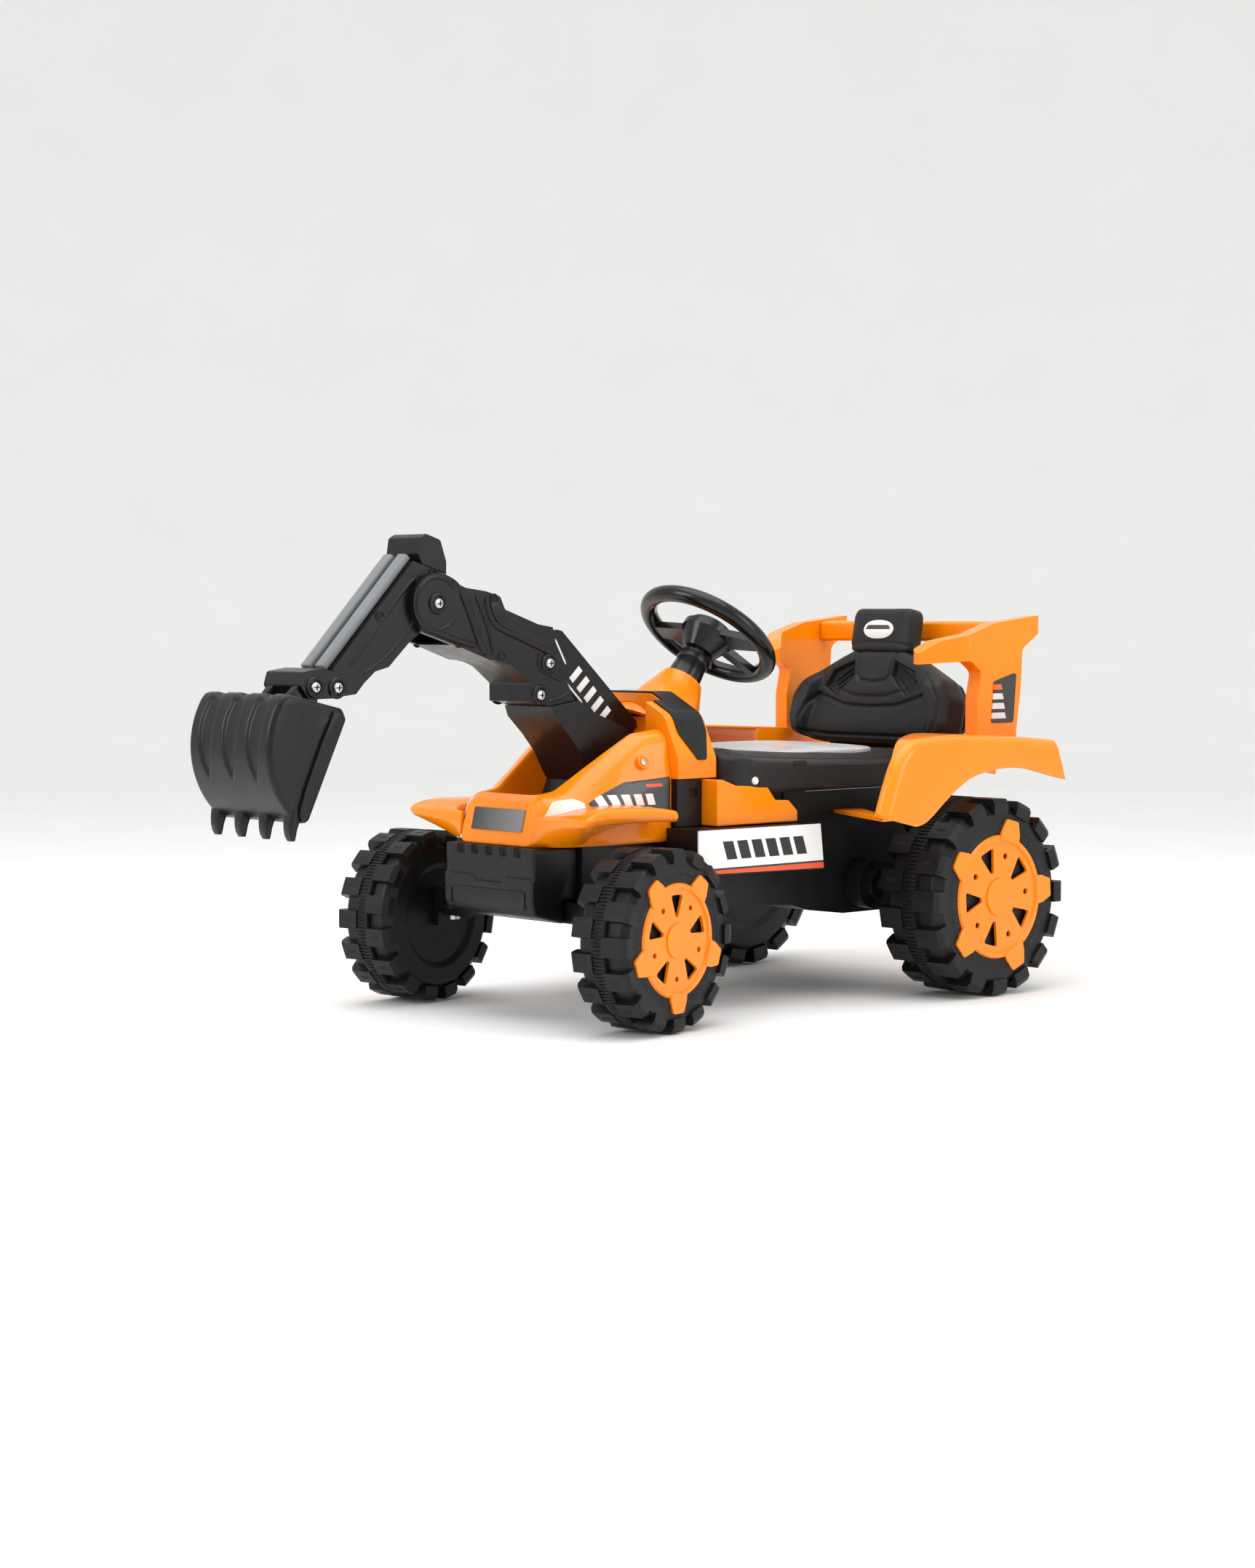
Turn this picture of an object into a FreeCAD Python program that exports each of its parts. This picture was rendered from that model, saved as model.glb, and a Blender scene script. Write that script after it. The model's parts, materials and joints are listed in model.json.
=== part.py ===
"""Child's ride-on digger: four-wheel ride-on with a steering wheel, a seat and a front digger arm.

Millimetres. +Z is up, the front is -Y and the driver's left is +X. The shapes are drawn
with Y = 0 at the front axle; save() moves them so that Y = 0 is the middle of the length.
"""

import FreeCAD
import Part
import math
import os

Vector = FreeCAD.Vector

# ---------------------------------------------------------------- driving dimensions
front_wheel_radius = 110.0
front_wheel_width = 82.0
rear_wheel_radius = 129.0
rear_wheel_width = 102.0
wheelbase = 568.0
front_track = 426.0
rear_track = 465.0
arm_reach = 453.0
tail_overhang = 185.0
chassis_half = 118.0
seat_half = 150.0
steering_wheel_radius = 98.0
steering_wheel_y = 308.0
steering_wheel_z = 472.0
column_tilt = 38.0
steer_at_rest = 10.0

# fits and clearances
running = 0.05
gap = 0.5
wheel_gap = 0.4
wall = 4.0

# wheels
lug_count = 16
lug_height = 8.0
axle_radius = 6.0
nut_radius = 9.0
nut_length = 5.0
rim_ratio = 0.63
tab_count = 5

# steering
kingpin_x = 151.0
kingpin_radius = 5.0
arm_length = 45.0
boss_radius = 13.0
beam_low = 120.0
beam_high = 146.0
ear = 7.0
tie_rod_radius = 4.0
tie_pin_radius = 3.0
finger_radius = 4.0

# body heights
nose_half = 92.0
hood_low = 214.0
step_half = 168.0
tub_low = 104.0
tub_top = 232.0
seat_box_top = 268.0
fender_inner = 160.0
fender_outer = 285.5
skin = 3.5

# digger arm
swing_y = 66.0
boom_half = 40.0
dipper_half = 31.0
pivot = (-180.0, 511.0)
wrist = (-325.0, 413.0)
curl = (-357.0, 414.0)
pin_radius = 5.0
bucket_half = 80.0
bucket_wall = 4.0
teeth = 4
tooth_pitch = 48.0

axle_z = front_wheel_radius
rear_axle_z = rear_wheel_radius
front_wheel_x = front_track / 2
rear_wheel_x = rear_track / 2
tail = wheelbase + tail_overhang
tub_back = wheelbase + 54
seat_back = wheelbase + 44
middle_y = (tail - arm_reach) / 2
across = Vector(1, 0, 0)
up = Vector(0, 0, 1)


# ---------------------------------------------------------------- shape helpers
def outline(points, place):
    """Closed wire through (a, b) or (a, b, r) points, with a tangent arc of radius r at a corner."""
    edges = []
    starts = []
    ends = []
    for i, point in enumerate(points):
        here = FreeCAD.Vector(point[0], point[1], 0)
        before = FreeCAD.Vector(points[i - 1][0], points[i - 1][1], 0)
        after = FreeCAD.Vector(points[(i + 1) % len(points)][0], points[(i + 1) % len(points)][1], 0)
        if len(point) < 3:
            starts.append(here)
            ends.append(here)
            continue
        to_before = (before - here).normalize()
        to_after = (after - here).normalize()
        half_angle = to_before.getAngle(to_after) / 2
        reach = point[2] / math.tan(half_angle)
        bisector = (to_before + to_after).normalize()
        centre = here + bisector * (point[2] / math.sin(half_angle))
        first = here + to_before * reach
        last = here + to_after * reach
        middle = centre - bisector * point[2]
        edges.append(Part.Arc(place(first), place(middle), place(last)).toShape())
        starts.append(first)
        ends.append(last)
    for i in range(len(points)):
        a = place(ends[i - 1])
        b = place(starts[i])
        if a.distanceToPoint(b) > 1e-6:
            edges.append(Part.LineSegment(a, b).toShape())
    return Part.Wire(Part.__sortEdges__(edges))


def prism(points, place, along):
    """Solid swept from an outline."""
    return Part.Face(outline(points, place)).extrude(along)


def side(points, x0, x1):
    """Outline in (Y, Z), swept along X."""
    return prism(points, lambda p: Vector(x0, p.x, p.y), Vector(x1 - x0, 0, 0))


def front(points, y0, y1):
    """Outline in (X, Z), swept along Y."""
    return prism(points, lambda p: Vector(p.x, y0, p.y), Vector(0, y1 - y0, 0))


def plan(points, z0, z1):
    """Outline in (X, Y), swept along Z."""
    return prism(points, lambda p: Vector(p.x, p.y, z0), Vector(0, 0, z1 - z0))


def both_ways(points):
    """Outline drawn for +X, closed by its mirror image."""
    return points + [(-p[0],) + tuple(p[1:]) for p in reversed(points)]


def block(x0, x1, y0, y1, z0, z1):
    return Part.makeBox(x1 - x0, y1 - y0, z1 - z0, Vector(x0, y0, z0))


def rod(p, q, radius):
    """Cylinder from p to q."""
    return Part.makeCylinder(radius, (q - p).Length, p, q - p)


def cross_rod(y, z, x0, x1, radius):
    """Cylinder along X."""
    return Part.makeCylinder(radius, x1 - x0, Vector(x0, y, z), across)


def turned(points):
    """Solid of revolution about the X axis from (x, radius) points."""
    wire = outline(points, lambda p: Vector(p.x, 0, p.y))
    return Part.Face(wire).revolve(Vector(0, 0, 0), across, 360)


def aft(points):
    """Points whose Y was measured from the rear axle, for a side outline."""
    return [(wheelbase + p[0],) + tuple(p[1:]) for p in points]


def aft_plan(points):
    """Points whose Y was measured from the rear axle, for a plan outline."""
    return [(p[0], wheelbase + p[1]) + tuple(p[2:]) for p in points]


def mirrored(shape):
    return shape.mirror(Vector(0, 0, 0), across)


def pair(shape):
    return Part.makeCompound([shape, mirrored(shape)])


def moved(shape, x, y, z):
    shape = shape.copy()
    shape.translate(Vector(x, y, z))
    return shape


def spun(shape, centre, axis, angle):
    shape = shape.copy()
    shape.rotate(centre, axis, angle)
    return shape


def along(direction, distance, origin):
    return origin + direction * distance


os.makedirs("parts", exist_ok=True)


def save(name, shape):
    """Writes one node, moved so that Y = 0 is the middle of the length."""
    placed = moved(shape, 0, -middle_y, 0)
    placed.exportStep("parts/" + name + ".step")


# ---------------------------------------------------------------- wheels
def tyre(radius, width):
    """Hollow moulded wheel about the X axis with its outer side towards +X."""
    half = width / 2
    crown = radius - lug_height
    rim = rim_ratio * radius
    body = turned([
        (-half + 6, axle_radius + running),
        (-half + 6, 0.55 * radius),
        (-half + 1, 0.62 * radius),
        (-half + 1, 0.80 * radius, 6),
        (-0.72 * half, crown, 8),
        (0.72 * half, crown, 8),
        (half - 4, 0.80 * radius + 6),
        (half - 4, rim + gap),
        (half - 12, rim + gap),
        (half - 12, axle_radius + running),
    ])
    cavity = turned([
        (-half + 11, axle_radius + 8),
        (-half + 11, 0.78 * radius),
        (-0.6 * half, crown - 6),
        (0.55 * half, crown - 6),
        (half - 18, 0.78 * radius),
        (half - 18, axle_radius + 8),
    ])
    band = turned([
        (-0.11 * width, crown - 3),
        (-0.11 * width, radius - 2.5),
        (0.11 * width, radius - 2.5),
        (0.11 * width, crown - 3),
    ])
    pitch = 360.0 / lug_count
    lug_half = 0.27 * 2 * math.pi * radius / lug_count
    outer_lug = [
        (0.09 * width, crown - 3),
        (0.09 * width, radius + 1),
        (half - 5, radius + 1),
        (half, radius - 7),
        (half, 0.84 * radius),
        (half - 7, 0.84 * radius),
        (half - 7, crown - 3),
    ]
    shapes = [band]
    for side_sign, phase in ((1, 0.0), (-1, 0.5)):
        points = [(side_sign * p[0], p[1]) for p in outer_lug]
        lug = prism(points, lambda p: Vector(p.x, -lug_half, p.y), Vector(0, 2 * lug_half, 0))
        for i in range(lug_count):
            shapes.append(spun(lug, Vector(0, 0, 0), across, (i + phase) * pitch))
    whole = body.multiFuse(shapes)
    whole = whole.common(Part.makeCylinder(radius, width, Vector(-half, 0, 0), across))
    return whole.cut(cavity)


def hub_cap(radius, width, first_tab):
    """Spoked cap in the wheel's outer recess, with tabs that lie on the sidewall."""
    half = width / 2
    rim = rim_ratio * radius
    plate = Part.makeCylinder(rim, 4, Vector(half - 8, 0, 0), across)
    raised = turned([
        (half - 4, 0.56 * radius),
        (half - 1.5, 0.57 * radius),
        (half - 1.5, rim - 2),
        (half - 4, rim),
    ])
    boss = Part.makeCylinder(0.19 * radius, 10, Vector(half - 12, 0, 0), across)
    cap = plate.fuse(raised).fuse(boss)
    step = 360.0 / tab_count
    tab = prism(
        [(0.57 * radius, -0.15 * radius), (0.66 * radius, -0.14 * radius), (0.79 * radius, -0.09 * radius, 3),
         (0.79 * radius, 0.09 * radius, 3), (0.66 * radius, 0.14 * radius), (0.57 * radius, 0.15 * radius)],
        lambda p: Vector(half - 4, p.y, p.x), Vector(3.2, 0, 0))
    window = prism(
        [(0.26 * radius, -0.02 * radius), (0.50 * radius, -0.11 * radius, 3),
         (0.50 * radius, 0.11 * radius, 3), (0.26 * radius, 0.02 * radius)],
        lambda p: Vector(half - 13, p.y, p.x), Vector(14, 0, 0))
    hole = Part.makeCylinder(0.032 * radius, 20, Vector(half - 13, 0, 0.42 * radius), across)
    tabs = []
    cuts = []
    for i in range(tab_count):
        angle = first_tab + i * step
        tabs.append(spun(tab, Vector(0, 0, 0), across, angle))
        cuts.append(spun(window, Vector(0, 0, 0), across, angle + step / 2))
        cuts.append(spun(hole, Vector(0, 0, 0), across, angle))
    cuts.append(Part.makeCylinder(nut_radius + 1.5, 8, Vector(half - 13, 0, 0), across))
    return cap.multiFuse(tabs).cut(Part.makeCompound(cuts))


def nut(width):
    """Nut on the end of the axle, inside the hub cap's boss; x is from the wheel's middle."""
    inner = width / 2 - 12 + wheel_gap
    body = Part.makeCylinder(nut_radius, nut_length, Vector(inner, 0, 0), across)
    return body.cut(Part.makeCylinder(axle_radius, nut_length, Vector(inner, 0, 0), across))


left_pin = Vector(kingpin_x, 0, 0)
right_pin = Vector(-kingpin_x, 0, 0)


def steered(shape, centre):
    return spun(shape, centre, up, steer_at_rest)


front_tyre = moved(tyre(front_wheel_radius, front_wheel_width), front_wheel_x, 0, axle_z)
front_cap = moved(hub_cap(front_wheel_radius, front_wheel_width, 36), front_wheel_x, 0, axle_z)
rear_tyre = moved(tyre(rear_wheel_radius, rear_wheel_width), rear_wheel_x, wheelbase, rear_axle_z)
rear_cap = moved(hub_cap(rear_wheel_radius, rear_wheel_width, -14), rear_wheel_x, wheelbase, rear_axle_z)
front_nut = moved(nut(front_wheel_width), front_wheel_x, 0, axle_z)
rear_nut = moved(nut(rear_wheel_width), rear_wheel_x, wheelbase, rear_axle_z)

save("tyre_front_left", steered(front_tyre, left_pin))
save("tyre_front_right", steered(mirrored(front_tyre), right_pin))
save("tyre_rear_left", rear_tyre)
save("tyre_rear_right", mirrored(rear_tyre))
save("hub_cap_front_left", steered(front_cap, left_pin))
save("hub_cap_front_right", steered(mirrored(front_cap), right_pin))
save("hub_cap_rear_left", rear_cap)
save("hub_cap_rear_right", mirrored(rear_cap))
save("nut_front_left", steered(front_nut, left_pin))
save("nut_front_right", steered(mirrored(front_nut), right_pin))
save("nuts_rear", pair(rear_nut))

rear_axle_end = rear_wheel_x + rear_wheel_width / 2 - 6
save("rear_axle", cross_rod(wheelbase, rear_axle_z, -rear_axle_end, rear_axle_end, axle_radius))


# ---------------------------------------------------------------- front axle and steering
ear_radius = boss_radius + 1
beam_end = kingpin_x - boss_radius - 3
beam = block(-beam_end, beam_end, -ear_radius, ear_radius, beam_low, beam_high)
for sign in (1, -1):
    for z in (beam_low - ear, beam_high):
        low = Vector(sign * kingpin_x, 0, z)
        near, far = sorted((sign * (beam_end - 30), sign * kingpin_x))
        beam = beam.fuse(block(near, far, -ear_radius, ear_radius, z, z + ear))
        beam = beam.fuse(rod(low, low + up * ear, ear_radius))
        beam = beam.cut(rod(low - up, low + up * (ear + 1), kingpin_radius))
save("front_axle_beam", beam)

pin_low = beam_low - ear - 6
pin_high = beam_high + ear
kingpin = rod(Vector(kingpin_x, 0, pin_low), Vector(kingpin_x, 0, pin_high), kingpin_radius)
head = rod(Vector(kingpin_x, 0, pin_high), Vector(kingpin_x, 0, pin_high + 4), 9)
foot = rod(Vector(kingpin_x, 0, pin_low), Vector(kingpin_x, 0, beam_low - ear), 8)
save("kingpins", pair(kingpin.fuse(head).fuse(foot)))

stub_end = front_wheel_x + front_wheel_width / 2 - 6
collar_end = front_wheel_x - front_wheel_width / 2 + 6 - wheel_gap
arm_low = beam_low + gap
arm_high = arm_low + 8
tie_top = arm_low - gap
knuckle = rod(Vector(kingpin_x, 0, beam_low + gap), Vector(kingpin_x, 0, beam_high - gap), boss_radius)
plate_in = kingpin_x + ear_radius + 3.5
plate_out = plate_in + 7
knuckle = knuckle.fuse(block(kingpin_x + 7, plate_out, -9, 9, beam_low + gap, beam_high - gap))
knuckle = knuckle.fuse(block(plate_in, plate_out, -10, 10, axle_z - 12, beam_high - gap))
knuckle = knuckle.fuse(cross_rod(0, axle_z, plate_in + 1, collar_end, 10))
knuckle = knuckle.fuse(cross_rod(0, axle_z, plate_in + 1, stub_end, axle_radius))
knuckle = knuckle.fuse(block(kingpin_x - 7, kingpin_x + 7, 5, arm_length + 7, arm_low, arm_high))
knuckle = knuckle.cut(rod(Vector(kingpin_x, 0, beam_low), Vector(kingpin_x, 0, beam_high),
                          kingpin_radius + running))
tie_pin = rod(Vector(kingpin_x, arm_length, arm_low - 12), Vector(kingpin_x, arm_length, arm_low + 1),
              tie_pin_radius)
knuckle = knuckle.fuse(tie_pin)
save("knuckle_left", steered(knuckle, left_pin))
save("knuckle_right", steered(mirrored(knuckle), right_pin))

column = Vector(0, math.sin(math.radians(column_tilt)), math.cos(math.radians(column_tilt)))
down_back = Vector(0, math.cos(math.radians(column_tilt)), -math.sin(math.radians(column_tilt)))
wheel_centre = Vector(0, steering_wheel_y, steering_wheel_z)
crank_height = 160.0
shaft_foot = along(column, (crank_height - steering_wheel_z) / column.z, wheel_centre)
finger_top = along(down_back, arm_length, shaft_foot)
finger_end = along(column, -20, finger_top)

rod_low = tie_top - 2 * tie_rod_radius
tie_rod = block(-kingpin_x - 9, kingpin_x + 9, arm_length - 8, arm_length + 8, rod_low, tie_top)
for x, clearance in ((kingpin_x, running), (-kingpin_x, gap)):
    tie_rod = tie_rod.cut(rod(Vector(x, arm_length, rod_low - 1), Vector(x, arm_length, tie_top + 1),
                              tie_pin_radius + clearance))
fork_gap = finger_radius + gap
for sign in (1, -1):
    near, far = sorted((sign * fork_gap, sign * (fork_gap + 5)))
    tie_rod = tie_rod.fuse(block(near, far, arm_length, finger_top.y + 8, rod_low, tie_top + 6))
swing_shift = Vector(-arm_length * math.sin(math.radians(steer_at_rest)),
                     -arm_length * (1 - math.cos(math.radians(steer_at_rest))), 0)
save("tie_rod", moved(tie_rod, swing_shift.x, swing_shift.y, 0))

hub_top = along(column, 12, wheel_centre)
shaft = rod(shaft_foot, along(column, -16, wheel_centre), 8)
web_top = along(column, -4, shaft_foot)
web = rod(shaft_foot, along(column, 8, shaft_foot), 12)
web_block = Part.makeBox(16, arm_length, 8, Vector(-8, 0, 0))
web_block.rotate(Vector(0, 0, 0), across, -column_tilt)
web_block.translate(shaft_foot)
finger = rod(along(column, 8, finger_top), finger_end, finger_radius)
web_end = rod(finger_top, along(column, 8, finger_top), 8)
shaft = shaft.fuse(web).fuse(web_block).fuse(web_end).fuse(finger)
save("steering_shaft", spun(shaft, wheel_centre, column, steer_at_rest))


def about_column(shape):
    """Moves a shape drawn about +Z at the origin on to the steering column, wheel centre at the origin."""
    shape = spun(shape, Vector(0, 0, 0), across, -column_tilt)
    return moved(shape, wheel_centre.x, wheel_centre.y, wheel_centre.z)


rim_tube = 11.0
ring_wheel = Part.makeTorus(steering_wheel_radius - rim_tube, rim_tube)
hub = Part.makeCone(22, 36, 26, Vector(0, 0, -30)).fuse(Part.makeCylinder(36, 8, Vector(0, 0, -4)))
for angle in (0, 180):
    spoke = prism([(26, -17), (steering_wheel_radius - rim_tube, -11),
                   (steering_wheel_radius - rim_tube, 11), (26, 17)],
                  lambda p: Vector(p.x, p.y, -8), Vector(0, 0, 10))
    hub = hub.fuse(spun(spoke, Vector(0, 0, 0), up, angle))
for angle in (62, 118):
    lower = prism([(26, -9), (steering_wheel_radius - rim_tube, -7),
                   (steering_wheel_radius - rim_tube, 7), (26, 9)],
                  lambda p: Vector(p.x, p.y, -8), Vector(0, 0, 9))
    hub = hub.fuse(spun(lower, Vector(0, 0, 0), up, angle))
hub = hub.cut(Part.makeCylinder(8, 20, Vector(0, 0, -34)))
save("steering_wheel", spun(about_column(ring_wheel.fuse(hub)), wheel_centre, column, steer_at_rest))
pad = Part.makeCylinder(30, 7, Vector(0, 0, 4)).fuse(Part.makeCone(30, 22, 4, Vector(0, 0, 11)))
save("steering_pad", spun(about_column(pad), wheel_centre, column, steer_at_rest))

collar_low = -92.0
collar = Part.makeCone(25, 19, 58, Vector(0, 0, collar_low))
collar = collar.fuse(Part.makeCylinder(22, 10, Vector(0, 0, collar_low + 44)))
collar = collar.cut(Part.makeCylinder(8 + running, 80, Vector(0, 0, collar_low - 1)))
save("column_collar", about_column(collar))


# ---------------------------------------------------------------- chassis
tub_front = 137.0
tub_outer = [(tub_front, 134), (214, 132), (346, 121), (380, 112), (tub_back - 179, tub_low),
             (tub_back, tub_low), (tub_back, tub_top), (tub_back - 22, seat_box_top), (330, seat_box_top),
             (330, tub_top), (tub_front, tub_top)]
tub_inner = [(tub_front + wall, 138), (214, 136), (346, 125), (382, 116), (tub_back - 179, tub_low + wall),
             (tub_back - wall, tub_low + wall), (tub_back - wall, 300), (tub_front + wall, 300)]
chassis = side(tub_outer, -chassis_half, chassis_half)
nose_outer = [(5, beam_high), (60, beam_high), (tub_front, 134), (tub_front, hood_low), (5, hood_low)]
nose_inner = [(9, beam_high + wall), (60, beam_high + wall), (tub_front + 1, 138), (tub_front + 1, 300), (9, 300)]
chassis = chassis.fuse(side(nose_outer, -nose_half, nose_half))
step_outer = [(128, tub_top), (345, tub_top - 1), (352, 171), (160, 174), (128, 200)]
step_inner = [(132, tub_top - wall), (341, tub_top - 5), (347.5, 160), (156, 160), (150, 175), (132, 196)]
step_in = 113.0
for sign in (1, -1):
    near, far = sorted((sign * step_in, sign * step_half))
    chassis = chassis.fuse(side(step_outer, near, far))
chassis = chassis.cut(side(tub_inner, -chassis_half + wall, chassis_half - wall))
chassis = chassis.cut(side(nose_inner, -nose_half + wall, nose_half - wall))
for sign in (1, -1):
    near, far = sorted((sign * chassis_half, sign * (step_half - wall)))
    chassis = chassis.cut(side(step_inner, near, far))
chassis = chassis.cut(block(-50, 50, 30, 125, 130, beam_high + wall + 1))
chassis = chassis.cut(cross_rod(wheelbase, rear_axle_z, -chassis_half - 1, chassis_half + 1, axle_radius))
save("chassis", chassis)

battery = side(aft([(-176, 118), (-80, 118), (-80, 206, 4), (-176, 206, 4)]), -75, 75)
terminal = side(aft([(-168, 206), (-158, 206), (-158, 214), (-168, 214)]), 48, 60)
save("battery", battery.fuse(terminal).fuse(mirrored(terminal)))

motor_x = chassis_half
motor_y = wheelbase - 94
gearbox_out = rear_wheel_x - rear_wheel_width / 2 - 4
drum = (gearbox_out - motor_x) / 2
motor_end = motor_x + drum * 4 / 3
gearbox = cross_rod(motor_y, 143, motor_x, motor_x + drum, 33)
gearbox = gearbox.fuse(side(aft([(-94, 112), (20, 108, 16), (20, 150, 16), (-94, 174)]), motor_x, gearbox_out))
gearbox = gearbox.cut(cross_rod(wheelbase, rear_axle_z, motor_x, motor_x + 80, axle_radius))
motor = cross_rod(motor_y, 143, motor_x + drum, motor_end, 20)
motor = motor.fuse(cross_rod(motor_y, 143, motor_end, motor_end + drum / 8, 8))
save("drive_units", Part.makeCompound([gearbox, motor, mirrored(gearbox), mirrored(motor)]))

# bumper: a hollow block with a notched top edge and a raised band
bumper = side([(-68, hood_low), (-68, 146), (-64, 131), (-18, 119), (-18, beam_high + 1), (4.5, beam_high + 1),
               (4.5, hood_low)], -85, 85)
bumper = bumper.cut(side([(-64, hood_low - wall), (-64, 148), (-61, 134.5), (-22, 124.5), (-22, beam_high + 5),
                          (6, beam_high + 5), (6, hood_low - wall)], -81, 81))
notch_pitch = 27.0
for i in range(5):
    x = (i - 2) * notch_pitch
    bumper = bumper.cut(block(x - 6, x + 6, -70, -64.5, hood_low - 9, hood_low + 1))
bumper = bumper.fuse(side([(-68, 150), (-71, 153), (-71, 176), (-68, 180)], -66, 66))
save("front_bumper", bumper)


# ---------------------------------------------------------------- hood
notch_half = 64.0
notch_floor = 334.0
notch_back = 165.0
well_floor = 228.0


def section(y, points):
    """One cross-section of the hood at a given Y."""
    return outline(both_ways(points), lambda p: Vector(p.x, y, p.y))


hood_stations = [
    (-58, [(60, hood_low), (66, 232), (64, 262), (58, 268)]),
    (-50, [(72, hood_low), (76, 235), (70, 264), (60, 276)]),
    (-8, [(104, hood_low), (98, 245), (74, 274), (57, 281)]),
    (29, [(112, hood_low), (104, 258), (84, 295), (66, 306)]),
    (62, [(112, hood_low), (107, 270), (92, 317), (75, 328)]),
    (96, [(112, hood_low), (110, 280), (99, 338), (85, 350)]),
    (136.5, [(112, hood_low), (112, 290), (104, 344), (90, 355)]),
]
hood = Part.makeLoft([section(y, p) for y, p in hood_stations], True, True)
well_stations = [
    (-38, [(44, 200), (48, 400)]),
    (-8, [(50, 200), (52, 400)]),
    (62, [(64, 200), (69, 400)]),
    (127, [(78, 200), (82, 400)]),
]
well = Part.makeLoft([section(y, p) for y, p in well_stations], True, True)
well = well.common(side([(-38, well_floor), (95, well_floor), (127, well_floor + 41), (127, 400), (-38, 400)],
                        -100, 100))
liner_stations = [(y - (wall if i == 0 else 0), [(q[0] + wall, q[1]) for q in p])
                  for i, (y, p) in enumerate(well_stations)]
liner_side = [(-42, well_floor - wall), (97, well_floor - wall), (132, well_floor + 41), (132, 420), (-42, 420)]
liner = Part.makeLoft([section(y, p) for y, p in liner_stations + [(140, [(82, 200), (86, 420)])]], True, True)
liner = liner.common(side(liner_side, -110, 110))
inside = Part.makeLoft([section(y + (wall if i == 0 else 0), [(q[0] - wall, q[1] - (0 if j < 1 else wall))
                                                             for j, q in enumerate(p)])
                        for i, (y, p) in enumerate(hood_stations)], True, True)
inside = inside.common(block(-200, 200, -60, 131, 0, 500)).cut(liner)
nose_lean = 0.25
lean_top = hood_low + 100
nose_face = side([(-64, hood_low), (-58, hood_low), (-58 + nose_lean * 100, lean_top), (-64, lean_top)],
                 -120, 120)
inside = inside.cut(moved(nose_face, 0, wall, 0))
hood = hood.cut(inside).cut(well).cut(nose_face)
hood = hood.cut(block(-notch_half, notch_half, 120, 140, notch_floor, 400))
hood = hood.cut(rod(along(column, -60, shaft_foot), wheel_centre, 13))
save("hood", hood)

plate_low = 232.0
plate_height = 27.0
plate_foot = -58.3 + nose_lean * (plate_low - hood_low)
plate_head = plate_foot + nose_lean * plate_height
plate = side([(plate_foot - 2.2, plate_low), (plate_foot, plate_low), (plate_head, plate_low + plate_height),
              (plate_head - 2.2, plate_low + plate_height)], -48, 48)
save("number_plate", plate)

lamp = Part.makeLoft([
    outline([(-56, 236), (-12, 250), (0, 268), (-38, 262)], lambda p: Vector(60, p.x, p.y)),
    outline([(-56, 236), (-12, 250), (0, 268), (-38, 262)], lambda p: Vector(108, p.x, p.y)),
], True, True)
grown = Part.makeLoft([section(y - 1.5, [(q[0] + 2.5, q[1] + (0 if i == 0 else 1)) for i, q in enumerate(p)])
                       for y, p in hood_stations], True, True)
lamp = lamp.common(grown).cut(hood).cut(moved(nose_face, 0, -1.5, 0))
lamp_solids = sorted(lamp.Solids, key=lambda s: -s.Volume)
save("headlights", pair(lamp_solids[0]))

# front mudguards: winged plates either side of the hood
guard = plan([(112.5, -50), (130, -62, 8), (160, -60, 10), (167, -40, 8), (167, 92, 14), (150, 106, 8),
              (112.5, 106)], hood_low + 10, 262)
guard = guard.common(side([(-64, 236), (-64, 244), (-40, 255), (20, 259), (70, 262), (108, 246), (108, 238),
                           (30, 236), (24, 226), (-30, 226), (-50, 228)], 100, 180))
guard = guard.cut(side([(-48, 220), (-48, 232), (-24, 248), (60, 252), (90, 244), (100, 234), (100, 220)],
                       118, 163))
save("mudguards_front", pair(guard))


# ---------------------------------------------------------------- cowl, dash and column cover
cover = Part.makeCone(66, 28, 94, Vector(0, 0, -170))
cover = cover.cut(Part.makeCylinder(13, 100, Vector(0, 0, -172)))
cover = cover.cut(Part.makeCone(58, 27, 78, Vector(0, 0, -171)))
cover = cover.cut(Part.makeCylinder(25.2, 20, Vector(0, 0, -92.2)))
cover = about_column(cover)
cowl_profile = [(124, 293), (124, 318, 20), (98, 372, 26), (44, 398, 20)]
cowl_y0 = 137.0
cowl_y1 = 203.0
cowl = front(both_ways(cowl_profile), cowl_y0, cowl_y1)
inner_profile = [(120, 290), (120, 317, 16), (95, 368, 22), (43, 393.5, 16)]
cowl = cowl.cut(front(both_ways(inner_profile), cowl_y0 + wall, cowl_y1 + 1))
cowl = cowl.cut(front(both_ways([(60, 285), (60, 340)]), cowl_y0 - 1, cowl_y0 + wall + 1))
cowl = cowl.cut(side([(100, 355), (140, 392), (168, 402), (100, 402)], -130, 130))
cowl = cowl.cut(block(-notch_half, notch_half, cowl_y0 - 1, notch_back, notch_floor, 402))
liner = block(-notch_half - wall, notch_half + wall, cowl_y0 + wall, notch_back + wall, notch_floor - wall, 398)
liner = liner.cut(block(-notch_half, notch_half, 100, notch_back, notch_floor, 402))
liner = liner.common(front(both_ways(inner_profile), cowl_y0, cowl_y1))
cowl = cowl.fuse(liner.cut(side([(100, 351), (140, 388), (168, 398), (168, 402), (100, 402)], -130, 130)))
solid_cone = about_column(Part.makeCone(66 + gap, 28 + gap, 94, Vector(0, 0, -170)))
cowl = cowl.cut(solid_cone)
save("cowl", cowl)
cover = cover.common(block(-80, 80, 150, 330, 296, 480))
save("column_cover", cover)

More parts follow.
